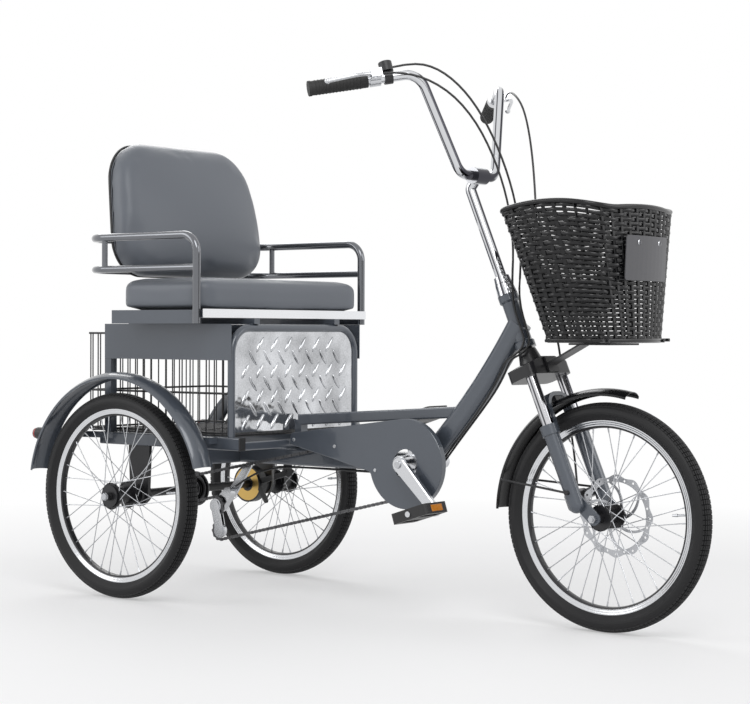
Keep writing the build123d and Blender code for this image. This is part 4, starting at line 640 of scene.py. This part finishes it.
def makeDisc():
    curve = bpy.data.curves.new("discOutline", "CURVE")
    curve.dimensions = "2D"
    curve.fill_mode = "BOTH"
    curve.extrude = discSet["thick"] / 2000

    def loop(points):
        spline = curve.splines.new("POLY")
        spline.points.add(len(points) - 1)
        for point, (radius, angle) in zip(spline.points, points):
            point.co = (radius * cos(angle) / 1000, radius * sin(angle) / 1000, 0, 1)
        spline.use_cyclic_u = True

    def circle(radius, angle, size, count):
        middle = Vector((radius * cos(angle), radius * sin(angle)))
        turns = [2 * pi * k / count for k in range(count)]
        spots = [middle + Vector((cos(turn), sin(turn))) * size for turn in turns]
        loop([(spot.length, atan2(spot.y, spot.x)) for spot in spots])

    turns = [2 * pi * k / discSet["steps"] for k in range(discSet["steps"])]
    loop([(discSet["edge"] + discSet["wave"] * cos(discSet["waves"] * turn), turn) for turn in turns])
    circle(0.0, 0.0, discSet["bore"], 32)
    for k in range(discSet["holes"]):
        circle(discSet["holeAt"][k % 2], 2 * pi * k / discSet["holes"], discSet["holeR"], 10)
    for k in range(discSet["arms"]):
        loop(windowLoop(2 * pi * k / discSet["arms"], 2 * pi * (k + 1) / discSet["arms"]))
    bm = curveMesh(curve)
    bmesh.ops.remove_doubles(bm, verts=bm.verts[:], dist=0.00001)
    place = Matrix.Translation(frontAxle + Vector((0, discSet["y"] / 1000, 0))) @ Matrix.Rotation(pi / 2, 4, "X")
    bmesh.ops.transform(bm, matrix=place, verts=bm.verts[:])
    bmesh.ops.recalc_face_normals(bm, faces=bm.faces[:])
    addPiece("brakeDisc", bm, "zincSteel", "front_wheel", ["disc_rotor"], smooth=False)


makeDisc()
print("brake disc cut")


# Ribs moulded round the grips, along the bar's outer ends
gripSet = {"tip": (622.6, 339.0, 1167.6), "bend": (780.6, 159.0, 1207.5), "radius": 15.6, "ribR": 1.5, "first": 10.0,
           "pitch": 7.6, "count": 14, "section": ((-1.0, 0.0), (-0.5, 0.8), (0.5, 0.8), (1.0, 0.0))}


def makeGripRibs():
    bm = bmesh.new()
    for side in (-1, 1):
        tip, bend = [station(x, side * y, z) for x, y, z in (gripSet["tip"], gripSet["bend"])]
        inward = (bend - tip).normalized()
        outward = inward.orthogonal().normalized()
        for k in range(gripSet["count"]):
            middle = tip + inward * (gripSet["first"] + k * gripSet["pitch"]) / 1000
            spots = []
            for along, rise in gripSet["section"]:
                reach = gripSet["radius"] + rise * gripSet["ribR"]
                spots.append(middle + (outward * reach + inward * along * gripSet["ribR"]) / 1000)
            spinLoop(bm, spots, middle, inward, 24)
    bmesh.ops.recalc_face_normals(bm, faces=bm.faces[:])
    addPiece("gripRibs", bm, "gripRubber", "steer", ())


makeGripRibs()

# Nuts, bolt heads and end caps: body, place, outward direction
fastenerSet = {
    "wheelNuts": {"finish": "zincSteel", "slot": "bare_steel", "radius": 10.0, "height": 8.0, "sides": 6, "items": [
        ("right_wheel", (0, -346, 246), (0, -1, 0)), ("left_wheel", (0, 346, 246), (0, 1, 0))]},
    "crankBolts": {"finish": "zincSteel", "slot": "bare_steel", "radius": 9.0, "height": 4.0, "sides": 24, "items": [
        ("crank", (676, -89.5, 340), (0, -1, 0)), ("crank", (676, 89.5, 340), (0, 1, 0))]},
    "caseScrews": {"finish": "zincSteel", "slot": "bare_steel", "radius": 4.5, "height": 2.2, "sides": 16, "items": [
        ("chassis", (346, -62.8, 383), (0, -1, 0)), ("chassis", (470, -62.8, 372), (0, -1, 0)),
        ("chassis", (590, -62.8, 322), (0, -1, 0))]},
    "railCaps": {"finish": "mouldedBlack", "slot": "black_plastic", "block": (4.0, 20.6, 30.6), "items": [
        ("chassis", (327.5, -230, 378), (1, 0, 0)), ("chassis", (327.5, 230, 378), (1, 0, 0))]},
}


def makeFasteners():
    for name, dims in fastenerSet.items():
        for body in sorted({item[0] for item in dims["items"]}):
            bm = bmesh.new()
            for owner, place, out in dims["items"]:
                if owner != body:
                    continue
                start, away = station(*place), Vector(out)
                if "block" in dims:
                    addBlock(bm, dims["block"], Matrix.Translation(start + away * dims["block"][0] / 2000))
                else:
                    radius = dims["radius"] / 1000
                    addRod(bm, start, start + away * dims["height"] / 1000, radius, dims["sides"], 0.86 * radius)
            bmesh.ops.bevel(bm, geom=bm.edges[:], offset=0.0006, affect="EDGES", segments=2, profile=0.5, material=-1)
            addPiece(name + body.title().replace("_", ""), bm, dims["finish"], body, (), smooth=False)


makeFasteners()
print("ribs and fasteners set")

# Front basket: upright stakes with flat strands woven in and out between two rims
basketSet = {"lowZ": 618, "topZ": 892, "lowX": (1092, 1218), "topX": (990, 1230), "lowY": 150, "topY": 174, "bulge": 36,
             "corner": 34, "wave": 22, "rows": 29, "stakes": 42, "strandHalf": 3.9, "strandThin": 1.1, "swing": 2.6,
             "stakeWide": 9.0, "stakeThin": 2.4, "rimThick": 5.5, "inset": 4.0, "rimLift": 6, "rimSteps": 84,
             "floorBars": (13, 7), "floorThick": 4.0}


def basketOutline(share, count):
    # even steps round the plan at one share of the height: straight back and sides, bowed front, round corners
    low, top = basketSet["lowX"], basketSet["topX"]
    inset = basketSet["inset"]
    bend = basketSet["corner"] - inset
    back = low[0] + (top[0] - low[0]) * share + inset
    front = low[1] + (top[1] - low[1]) * share - inset
    side = basketSet["lowY"] + (basketSet["topY"] - basketSet["lowY"]) * share - inset
    course = []
    for corner, start in (((front - bend, side - bend), 0), ((back + bend, side - bend), 90),
                          ((back + bend, -side + bend), 180), ((front - bend, -side + bend), 270)):
        for k in range(9):
            angle = radians(start + k * 90 / 8)
            course.append(Vector((corner[0] + bend * cos(angle), corner[1] + bend * sin(angle), 0)))
    course.append(course[0].copy())
    lengths = [(b - a).length for a, b in zip(course, course[1:])]
    total = sum(lengths)
    spots, leg, passed = [], 0, 0.0
    for k in range(count):
        goal = total * k / count
        while passed + lengths[leg] < goal:
            passed += lengths[leg]
            leg += 1
        a, b = course[leg], course[leg + 1]
        spot = a.lerp(b, (goal - passed) / lengths[leg])
        run = (b - a).normalized()
        bow = basketSet["bulge"] * (1 - (spot.y / side) ** 2) * max(0.0, (spot.x - front + bend) / bend)
        spots.append((Vector((spot.x + bow, spot.y, 0)), Vector((run.y, -run.x, 0))))
    return spots


def basketTop(spot):
    # the wavy rim: highest at the middle of each side
    middle = (basketSet["topX"][0] + basketSet["topX"][1] + basketSet["bulge"]) / 2
    half = (basketSet["topX"][1] + basketSet["bulge"] - basketSet["topX"][0]) / 2 + 6
    along = 1 - ((spot.x - middle) / half) ** 2
    across = 1 - (spot.y / (basketSet["topY"] + 6)) ** 2
    return basketSet["topZ"] + basketSet["wave"] * max(along, 0.55 * across, 0.0)


def basketRing(share, count):
    ring = []
    for spot, out in basketOutline(share, count):
        foot = basketSet["lowZ"] + basketSet["rimLift"]
        ring.append((Vector((spot.x, spot.y, foot + (basketTop(spot) - foot) * share)), out))
    return ring


def ribbonCurve(name, courses, cyclic, depth, extrude=0.0, resolution=1, kind="NURBS"):
    # a curve object through given lists of stations, turned into a mesh
    curve = bpy.data.curves.new(name, "CURVE")
    curve.dimensions = "3D"
    curve.twist_mode = "Z_UP"
    curve.bevel_depth = depth / 1000
    curve.bevel_resolution = resolution
    curve.extrude = extrude / 1000
    curve.resolution_u = 3
    curve.use_fill_caps = not cyclic
    for course in courses:
        spline = curve.splines.new(kind)
        spline.points.add(len(course) - 1)
        for point, place in zip(spline.points, course):
            point.co = (*station(*place), 1)
        spline.use_cyclic_u = cyclic
        if kind == "NURBS":
            spline.order_u = 3
            spline.use_endpoint_u = not cyclic
    return curveMesh(curve)


def makeBasket():
    strands = []
    perStake = 4
    count = basketSet["stakes"] * perStake
    for row in range(basketSet["rows"]):
        share = (row + 0.6) / (basketSet["rows"] + 0.4)
        course = []
        for k, (spot, out) in enumerate(basketRing(share, count)):
            sway = cos(pi * k / perStake + pi * (row % 2)) * basketSet["swing"]
            course.append(spot + out * sway)
        strands.append(course)
    flat = basketSet["strandHalf"] - basketSet["strandThin"]
    bm = ribbonCurve("basketStrands", strands, True, basketSet["strandThin"], flat, 0, kind="POLY")
    addPiece("basketStrands", bm, "glossBlack", "steer", ["front_basket", "basket_weave"])

    bm = bmesh.new()
    feet, heads = basketRing(0.0, basketSet["stakes"]), basketRing(1.0, basketSet["stakes"])
    for (foot, out), (head, _) in zip(feet, heads):
        upward = (head - foot).normalized()
        side = upward.cross(out).normalized()
        turn = Matrix((side, side.cross(upward) * -1, upward)).transposed().to_4x4()
        size = (basketSet["stakeWide"], basketSet["stakeThin"], (head - foot).length)
        addBlock(bm, size, Matrix.Translation(station(*((foot + head) / 2))) @ turn)
    bmesh.ops.recalc_face_normals(bm, faces=bm.faces[:])
    bmesh.ops.bevel(bm, geom=bm.edges[:], offset=0.0008, affect="EDGES", segments=1, profile=0.5, material=-1)
    addPiece("basketStakes", bm, "glossBlack", "steer", (), smooth=False)

    rims = [[spot for spot, out in basketRing(share, basketSet["rimSteps"])] for share in (1.0, 0.0)]
    bm = ribbonCurve("basketRims", rims, True, basketSet["rimThick"], 0.0, 3)
    addPiece("basketRims", bm, "glossBlack", "steer", ())

    floorRows = []
    (back, front), side, foot = basketSet["lowX"], basketSet["lowY"], basketSet["lowZ"]
    lengthwise, crosswise = basketSet["floorBars"]
    for k in range(lengthwise):
        y = -side + 12 + (2 * side - 24) * k / (lengthwise - 1)
        over = 2 * (k % 2)
        floorRows.append([(back + 6, y, foot + 5 + over), (front + 20, y, foot + 7 - over)])
    for k in range(crosswise):
        x = back + 12 + (front - back) * k / (crosswise - 1)
        over = 2 * (k % 2)
        floorRows.append([(x, -side + 8, foot + 5 + over), (x, side - 8, foot + 7 - over)])
    bm = ribbonCurve("basketFloor", floorRows, False, basketSet["floorThick"], 0.0, 1, kind="POLY")
    addPiece("basketFloor", bm, "glossBlack", "steer", ())


# Blank plate on the basket's front, held by two bolts
plateSet = {"wide": 168, "tall": 94, "thick": 2.0, "z": 796, "boltY": 42, "boltDrop": 14, "boltR": 6, "round": 6,
            "bow": 0.9, "stand": 3.5}


def makeBasketPlate():
    share = (plateSet["z"] - basketSet["lowZ"]) / (basketSet["topZ"] - basketSet["lowZ"])
    front = basketSet["lowX"][1] + (basketSet["topX"][1] - basketSet["lowX"][1]) * share + basketSet["bulge"]
    lean = atan2(basketSet["topX"][1] - basketSet["lowX"][1], basketSet["topZ"] - basketSet["lowZ"])
    bm = bmesh.new()
    addBlock(bm, (plateSet["thick"], plateSet["wide"], plateSet["tall"]), Matrix())
    corners = [e for e in bm.edges if abs((e.verts[0].co - e.verts[1].co).normalized().x) > 0.9]
    bmesh.ops.bevel(bm, geom=corners, offset=plateSet["round"] / 1000, affect="EDGES", segments=4, profile=0.5,
                    material=-1)
    level = [e for e in bm.edges if abs(e.verts[0].co.y - e.verts[1].co.y) > 0.1]
    bmesh.ops.subdivide_edges(bm, edges=level, cuts=8)

    def bowed(y):
        return plateSet["bow"] * basketSet["bulge"] * (y / basketSet["topY"]) ** 2 / 1000

    for vert in bm.verts:
        vert.co.x -= bowed(vert.co.y * 1000)
    place = Matrix.Translation(station(front + plateSet["stand"], 0, plateSet["z"])) @ Matrix.Rotation(lean, 4, "Y")
    bmesh.ops.transform(bm, matrix=place, verts=bm.verts[:])
    addPiece("basketPlate", bm, "plateGrey", "steer", (), smooth=False)
    bm = bmesh.new()
    for side in (-1, 1):
        made = bmesh.ops.create_uvsphere(bm, u_segments=16, v_segments=8, radius=plateSet["boltR"] / 1000)["verts"]
        bmesh.ops.scale(bm, vec=(0.5, 1, 1), verts=made)
        drop = plateSet["tall"] / 2 - plateSet["boltDrop"]
        spot = place @ Vector((0.001 - bowed(plateSet["boltY"]), side * plateSet["boltY"] / 1000, drop / 1000))
        bmesh.ops.translate(bm, vec=spot, verts=made)
    addPiece("basketPlateBolts", bm, "chromePlate", "steer", ())


makeBasket()
makeBasketPlate()
print("front basket woven")


# Cables: the same points as the solids, on smooth curves
cableCourses = {
    "leftBrakeCable": [(742, 244, 1201), (768, 214, 1205), (810, 178, 1192), (854, 144, 1158), (890, 112, 1104),
                       (918, 86, 1036), (938, 66, 962), (950, 54, 886), (957, 52, 812), (966, 60, 740),
                       (978, 78, 674), (984, 96, 612), (988, 104, 552), (998, 104, 494), (1014, 96, 438),
                       (1032, 82, 386), (1047, 68, 342), (1060, 54, 300)],
    "rightBrakeCable": [(742, -244, 1201), (768, -214, 1205), (812, -176, 1193), (858, -140, 1158), (894, -106, 1102),
                        (920, -78, 1032), (938, -56, 956), (947, -42, 884), (949, -36, 818), (946, -36, 758),
                        (947, -34, 700), (971, -34, 642), (978, -35, 624), (974, -40, 603), (954, -42, 589),
                        (925, -32, 577), (900, -18, 543), (872, -11, 504), (840, -10, 463), (800, -10, 416),
                        (759, -10, 369), (722, -10, 320), (664, -11, 311), (580, -10, 313), (470, -8, 312.5),
                        (360, -6, 313), (262, 0, 312), (206, 26, 306), (164, 70, 292), (128, 116, 264),
                        (99, 142, 236), (74, 152, 212)],
    "gearCable": [(738, -197, 1220), (768, -164, 1231), (808, -136, 1221), (848, -112, 1188), (884, -90, 1138),
                  (914, -68, 1072), (937, -48, 998), (951, -30, 922), (957, -20, 848), (956, -18, 778),
                  (953, -21, 712), (976, -22, 644), (984, -23, 626), (981, -28, 604), (961, -31, 590),
                  (931, -19, 580), (905, -2, 547), (878, 4, 510), (846, 3, 470), (804, 2, 421), (763, 1, 373),
                  (718, 0, 317), (660, -1, 311), (576, 0, 313), (466, 2, 312.5), (356, 1, 313), (262, -4, 311),
                  (204, -12, 300), (160, -20, 280), (128, -26, 258)],
}
cableSet = {"thick": 2.5, "blendTop": (950, 0, 770), "blendFoot": (980, 0, 610),
            "replaced": {"leftBrakeCable": ["bar_cables"], "rightBrakeCable": (), "gearCable": ["frame_cables"]}}


def makeCables():
    for name, course in cableCourses.items():
        bm = ribbonCurve(name, [course], False, cableSet["thick"], 0.0, 2)
        body = "steer" if name == "leftBrakeCable" else None
        piece = addPiece(name, bm, "cableSleeve", body, cableSet["replaced"][name])
        if body is None:
            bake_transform(piece)


makeCables()
print("cables laid")

# Cushions: the plain solid, a little smaller, blown up as cloth, capped, smoothed, brought back to size and crowned
padSet = {"voxel": 0.006, "shrink": 0.003, "pressure": 3.0, "cap": 0.007, "frames": 20, "stiff": 80, "bend": 20,
          "quality": 6, "side": 2.4, "depth": 1.5}
cushionSet = {
    "seatPad": {"node": "seat_cushion", "smooth": 3, "foot": (128.0, 0.0, 730.0), "lean": -90.0, "crown": 12.0,
                "half": (310.0, 154.0), "middle": 0.0, "taper": 0.0, "sway": 0.0},
    "backPad": {"node": "backrest_cushion", "smooth": 6, "foot": (-78.0, 0.0, 780.0), "lean": 6.0, "crown": 36.0,
                "half": (255.0, 325.0), "middle": 0.36, "taper": 0.15, "sway": 26.0},
}
shellSet = {"node": "backrest_board", "pipe": 3.2, "inset": 1.5, "over": 5.0, "corner": 92.0, "footCorner": 88.0,
            "foot": -6.0, "lift": 11.5}


def padMesh(name, dims):
    # the solid's mesh, merged, drawn in towards its middle and remeshed evenly
    low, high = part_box(dims["node"])
    middle = (low + high) / 2
    bm = bmesh.new()
    bm.from_mesh(nodes[dims["node"]].data)
    bmesh.ops.remove_doubles(bm, verts=bm.verts[:], dist=0.00005)
    size = Matrix.Diagonal([1 - 2 * padSet["shrink"] / span for span in high - low] + [1])
    bmesh.ops.transform(bm, matrix=Matrix.Translation(middle) @ size @ Matrix.Translation(-middle), verts=bm.verts[:])
    mesh = bpy.data.meshes.new(name)
    bm.to_mesh(mesh)
    bm.free()
    pad = bpy.data.objects.new(name, mesh)
    scene.collection.objects.link(pad)
    remesh = pad.modifiers.new("evenFaces", "REMESH")
    remesh.mode = "VOXEL"
    remesh.voxel_size = padSet["voxel"]
    return pad


def settle(pad):
    # keeps the modifiers' result as the piece's own mesh
    done, old = shownMesh(pad), pad.data
    pad.modifiers.clear()
    pad.data = done
    bpy.data.meshes.remove(old)


def blowUp(pad):
    start = [vert.co.copy() for vert in pad.data.vertices]
    faces = [vert.normal.copy() for vert in pad.data.vertices]
    cloth = pad.modifiers.new("filling", "CLOTH")
    cloth.settings.use_pressure = True
    cloth.settings.uniform_pressure_force = padSet["pressure"]
    cloth.settings.effector_weights.gravity = 0.0
    cloth.settings.quality = padSet["quality"]
    cloth.settings.tension_stiffness = cloth.settings.compression_stiffness = padSet["stiff"]
    cloth.settings.bending_stiffness = padSet["bend"]
    cloth.point_cache.frame_start, cloth.point_cache.frame_end = 1, padSet["frames"]
    for step in range(1, padSet["frames"] + 1):
        scene.frame_set(step)
        bpy.context.view_layer.update()
    settle(pad)
    scene.frame_set(1)
    # only outward movement stays, up to the cap
    for vert, first, outward in zip(pad.data.vertices, start, faces):
        move = vert.co - first
        move -= outward * min(move.dot(outward), 0.0)
        if move.length > padSet["cap"]:
            move = move.normalized() * padSet["cap"]
        vert.co = first + move


def fitBox(bm, node):
    # scales the mesh about its middle to the box of the solid it stands for
    low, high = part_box(node)
    spans = [[vert.co[axis] for vert in bm.verts] for axis in range(3)]
    nowLow, nowHigh = Vector(min(span) for span in spans), Vector(max(span) for span in spans)
    size = Matrix.Diagonal([(b - a) / (d - c) for a, b, c, d in zip(low, high, nowLow, nowHigh)] + [1])
    shift = Matrix.Translation((low + high) / 2) @ size @ Matrix.Translation(-(nowLow + nowHigh) / 2)
    bmesh.ops.transform(bm, matrix=shift, verts=bm.verts[:])


def drawnShare(rise):
    # how far a height share is drawn in and back: nothing at the foot, all at the top
    return min(max(rise, 0.0), 1.0) ** 2


def crownPad(bm, dims):
    # swells the face on the out side towards its middle and draws the panel in towards its top;
    # the seat's lean makes its underside the out side
    turn, foot = radians(dims["lean"]), station(*dims["foot"])
    up, out = Vector((-sin(turn), 0, cos(turn))), Vector((cos(turn), 0, sin(turn)))
    depths = [(vert.co - foot).dot(out) for vert in bm.verts]
    back, deep = min(depths), max(depths) - min(depths)
    halfY, tall = [value / 1000 for value in dims["half"]]
    for vert, depth in zip(bm.verts, depths):
        rise = (vert.co - foot).dot(up) / tall
        if dims["middle"]:
            hill = sin(pi * min(max(rise, 0.0), 1.0) ** (log(0.5) / log(dims["middle"])))
        else:
            hill = 1 - min(rise * rise, 1.0)
        hill *= 1 - min(abs(vert.co.y / halfY), 1.0) ** padSet["side"]
        vert.co += out * dims["crown"] / 1000 * hill * ((depth - back) / deep) ** padSet["depth"]
        share = drawnShare(rise)
        vert.co -= out * dims["sway"] / 1000 * share
        vert.co.y *= 1 - dims["taper"] * share


def panelOutline(width, height, corner, footCorner):
    # half the panel's edge, from the middle of its foot to the middle of its top, as (y, height) points
    points = [(0.0, 0.0)]
    for radius, z, first in ((footCorner, footCorner, -90), (corner, height - corner, 0)):
        for step in range(9):
            angle = radians(first + step * 90 / 8)
            points.append((width / 2 - radius + radius * cos(angle), z + radius * sin(angle)))
    return points + [(0.0, height)]


def makeShell():
    # the back shell in the cover's own colour, and the piping between it and the pad
    dims = cushionSet["backPad"]
    bm = bmesh.new()
    bm.from_mesh(nodes[shellSet["node"]].data)
    crownPad(bm, {**dims, "crown": 0.0})
    addPiece("backShell", bm, "seatLeather", "chassis", [shellSet["node"]], smooth=False)
    halfY, tall = dims["half"]
    half = panelOutline(2 * (halfY - shellSet["inset"]), tall + shellSet["over"], shellSet["corner"],
                        shellSet["footCorner"])
    whole = half + [(-y, z) for y, z in half[-2:0:-1]]
    turn = radians(dims["lean"])
    course = []
    for y, z in whole:
        along = z + shellSet["foot"]
        share = drawnShare(along / tall)
        off = shellSet["lift"] - dims["sway"] * share
        course.append((dims["foot"][0] - along * sin(turn) + off * cos(turn), y * (1 - dims["taper"] * share),
                       dims["foot"][2] + along * cos(turn) + off * sin(turn)))
    bm = ribbonCurve("backPiping", [course], True, shellSet["pipe"], resolution=2)
    addPiece("backPiping", bm, "mouldedBlack", "chassis", ())


def makeCushions():
    for name, dims in cushionSet.items():
        pad = padMesh(name, dims)
        settle(pad)
        blowUp(pad)
        bm = bmesh.new()
        bm.from_mesh(pad.data)
        for step in range(dims["smooth"]):
            bmesh.ops.smooth_vert(bm, verts=bm.verts[:], factor=0.5, use_axis_x=True, use_axis_y=True,
                                  use_axis_z=True)
        bpy.data.objects.remove(pad)
        fitBox(bm, dims["node"])
        crownPad(bm, dims)
        piece = addPiece(name, bm, "seatLeather", "chassis", [dims["node"]])
        smooth = piece.modifiers.new("softer", "SUBSURF")
        smooth.levels = smooth.render_levels = 1


makeShell()
makeCushions()
print("cushions filled")


# Raised lozenges of the bright front plate, in leaning rows that change side from row to row
lozengeSet = {"long": 0.047, "wide": 0.0115, "high": 0.0034, "lean": 38.0, "stepY": 0.052, "stepZ": 0.0305,
              "marginY": 0.030, "marginZ": 0.022, "corner": 0.075, "clear": 0.055}


def makeLozenges():
    low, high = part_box("front_plate")
    bm = bmesh.new()
    rows = int((high.z - low.z - 2 * lozengeSet["marginZ"]) / lozengeSet["stepZ"])
    columns = int((high.y - low.y - 2 * lozengeSet["marginY"]) / lozengeSet["stepY"])
    size = Matrix.Diagonal((2 * lozengeSet["high"], lozengeSet["wide"], lozengeSet["long"], 1))
    for row in range(rows + 1):
        odd = row % 2
        z = low.z + lozengeSet["marginZ"] + row * lozengeSet["stepZ"]
        turn = Matrix.Rotation(radians(lozengeSet["lean"] * (1 if odd else -1)), 4, "X")
        for column in range(columns + 1 - odd):
            y = (column + odd / 2 - columns / 2) * lozengeSet["stepY"]
            # the plate's upper corners are round
            past = [max(0.0, spot - edge + lozengeSet["corner"]) for spot, edge in ((abs(y), high.y), (z, high.z))]
            if hypot(*past) > lozengeSet["clear"]:
                continue
            made = bmesh.ops.create_uvsphere(bm, u_segments=12, v_segments=6, radius=0.5)["verts"]
            bmesh.ops.transform(bm, matrix=Matrix.Translation((high.x, y, z)) @ turn @ size, verts=made)
    bmesh.ops.bisect_plane(bm, geom=bm.verts[:] + bm.edges[:] + bm.faces[:], plane_co=(high.x - 0.0004, 0, 0),
                           plane_no=(1, 0, 0), clear_inner=True)
    bmesh.ops.holes_fill(bm, edges=[e for e in bm.edges if e.is_boundary], sides=0)
    bmesh.ops.recalc_face_normals(bm, faces=bm.faces[:])
    addPiece("plateLozenges", bm, "paintedReflectionPlate", "chassis", ())


makeLozenges()
print("plate pressed")


# Roller chain: alternate wide and narrow links laid round the same course as the solid
chainSet = {"y": -42.0, "pitch": 12.7, "ringTeeth": 36, "cogTeeth": 16, "pulleyTeeth": 11, "crank": (676.0, 340.0),
            "axle": (0.0, 246.0), "guide": (78.0, 208.0), "tension": (92.0, 148.0), "plateHigh": 8.4, "waist": 5.6,
            "plateThick": 1.0, "rollerR": 3.9, "pinR": 1.7, "innerY": 1.9, "outerY": 3.0}


def chainStops():
    # pin places and headings: arcs round the four toothed wheels, joined by straight runs
    def pitchRadius(teeth):
        return chainSet["pitch"] / (2 * sin(pi / teeth))

    wheels = []
    for place, teeth, way in (("crank", "ringTeeth", 1), ("axle", "cogTeeth", 1), ("guide", "pulleyTeeth", -1),
                              ("tension", "pulleyTeeth", 1)):
        wheels.append((*chainSet[place], pitchRadius(chainSet[teeth]), way))
    headings = []
    for (x1, z1, r1, t1), (x2, z2, r2, t2) in zip(wheels, wheels[1:] + wheels[:1]):
        headings.append(atan2(z2 - z1, x2 - x1) - asin((t2 * r2 - t1 * r1) / hypot(x2 - x1, z2 - z1)))
    legs = []
    for k, (x, z, r, t) in enumerate(wheels):
        came, goes = headings[k - 1], headings[k]
        legs.append((r * (((goes - came) * t) % (2 * pi)), x, z, r, t, came))
        x2, z2, r2, t2 = wheels[(k + 1) % len(wheels)]
        start = (x + t * r * sin(goes), z - t * r * cos(goes))
        end = (x2 + t2 * r2 * sin(goes), z2 - t2 * r2 * cos(goes))
        legs.append((hypot(end[0] - start[0], end[1] - start[1]), *start, None, 0, goes))
    total = sum(leg[0] for leg in legs)
    links = 2 * round(total / chainSet["pitch"] / 2)
    stops, passed = [], 0.0
    for length, x, z, r, t, heading in legs:
        while len(stops) * total / links < passed + length and len(stops) < links:
            at = len(stops) * total / links - passed
            if r is None:
                stops.append((x + at * cos(heading), z + at * sin(heading)))
            else:
                now = heading + t * at / r
                stops.append((x + t * r * sin(now), z - t * r * cos(now)))
        passed += length
    return stops


def linkPlate(bm, start, end, y):
    # one figure-eight plate between two pins
    run = Vector((end[0] - start[0], 0, end[1] - start[1]))
    made = bmesh.ops.create_circle(bm, cap_ends=True, cap_tris=False, segments=16, radius=0.5)
    verts = made["verts"]
    for vert in verts:
        along, across = vert.co.x, vert.co.y
        pull = 1 if along > 0.01 else -1 if along < -0.01 else 0
        narrow = chainSet["waist"] if pull == 0 else chainSet["plateHigh"]
        vert.co = Vector((pull * run.length / 2 + along * chainSet["plateHigh"], -chainSet["plateThick"] / 2,
                          across * narrow))
    faces = list({face for vert in verts for face in vert.link_faces})
    grown = bmesh.ops.extrude_face_region(bm, geom=faces)["geom"]
    tops = [item for item in grown if isinstance(item, bmesh.types.BMVert)]
    bmesh.ops.translate(bm, verts=tops, vec=(0, chainSet["plateThick"], 0))
    place = Matrix.Translation(station((start[0] + end[0]) / 2, y, (start[1] + end[1]) / 2))
    turn = Matrix.Rotation(-atan2(run.z, run.x), 4, "Y")
    bmesh.ops.transform(bm, matrix=place @ turn @ Matrix.Scale(0.001, 4), verts=verts + tops)


def makeChain():
    stops = chainStops()
    bm = bmesh.new()
    for k, start in enumerate(stops):
        end = stops[(k + 1) % len(stops)]
        out = chainSet["outerY"] if k % 2 else chainSet["innerY"]
        for side in (-1, 1):
            linkPlate(bm, start, end, chainSet["y"] + side * (out - chainSet["plateThick"] / 2))
        place = Matrix.Translation(station(start[0], chainSet["y"], start[1])) @ Matrix.Rotation(pi / 2, 4, "X")
        # the roller between the inner plates, and the pin through the outer ones
        for radius, half, sides in ((chainSet["rollerR"], chainSet["innerY"] - chainSet["plateThick"], 10),
                                    (chainSet["pinR"], chainSet["outerY"] + 0.4, 8)):
            made = bmesh.ops.create_cone(bm, cap_ends=True, segments=sides, radius1=radius / 1000,
                                         radius2=radius / 1000, depth=2 * half / 1000)["verts"]
            bmesh.ops.transform(bm, matrix=place, verts=made)
    bmesh.ops.recalc_face_normals(bm, faces=bm.faces[:])
    addPiece("driveChain", bm, "chainSteel", "chassis", ["chain"], smooth=False)


makeChain()
print("chain linked")


# Amber reflectors let into the pedals' front and rear ends
reflectorSet = {"wide": 40.0, "tall": 15.0, "thick": 2.2, "tilt": 18.0, "half": 49.0}


def makeReflectors():
    size = [reflectorSet[key] for key in ("thick", "wide", "tall")]
    turn = Matrix.Rotation(radians(-reflectorSet["tilt"]), 4, "Y")
    for node in ("right_pedal", "left_pedal"):
        bm = bmesh.new()
        for end in (-1, 1):
            spot = Matrix.Translation((end * reflectorSet["half"] / 1000, 0, 0))
            addBlock(bm, size, Matrix.Translation(middleOf(node)) @ turn @ spot)
        bmesh.ops.bevel(bm, geom=bm.edges[:], offset=0.0008, affect="EDGES", segments=2, profile=0.5, material=-1)
        addPiece(node + "Reflectors", bm, "amberLens", node, (), smooth=False)


makeReflectors()


# Red lamp lenses with a moulded ring grid, over the housings: (radius, depth) outline in metres
lensSet = {"back": 0.008, "inset": 0.015, "steps": 32,
           "outline": ((0.0, -0.0098), (0.004, -0.0096), (0.0045, -0.0090), (0.0085, -0.0088), (0.009, -0.0080),
                       (0.0125, -0.0070), (0.0138, -0.0045), (0.0138, 0.0006))}


def makeLenses():
    low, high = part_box("rear_lamps")
    bm = bmesh.new()
    for side in (-1, 1):
        centre = Vector((low.x + lensSet["back"], side * (high.y - lensSet["inset"]), (low.z + high.z) / 2))
        spots = [centre + Vector((x, r, 0)) for r, x in lensSet["outline"]]
        spinLoop(bm, spots, centre, (1, 0, 0), lensSet["steps"], closed=False)
    bmesh.ops.remove_doubles(bm, verts=bm.verts[:], dist=0.00002)
    bmesh.ops.holes_fill(bm, edges=[e for e in bm.edges if e.is_boundary], sides=0)
    bmesh.ops.recalc_face_normals(bm, faces=bm.faces[:])
    addPiece("lampLenses", bm, "redLens", "chassis", ())


makeLenses()
print("reflectors and lenses set")
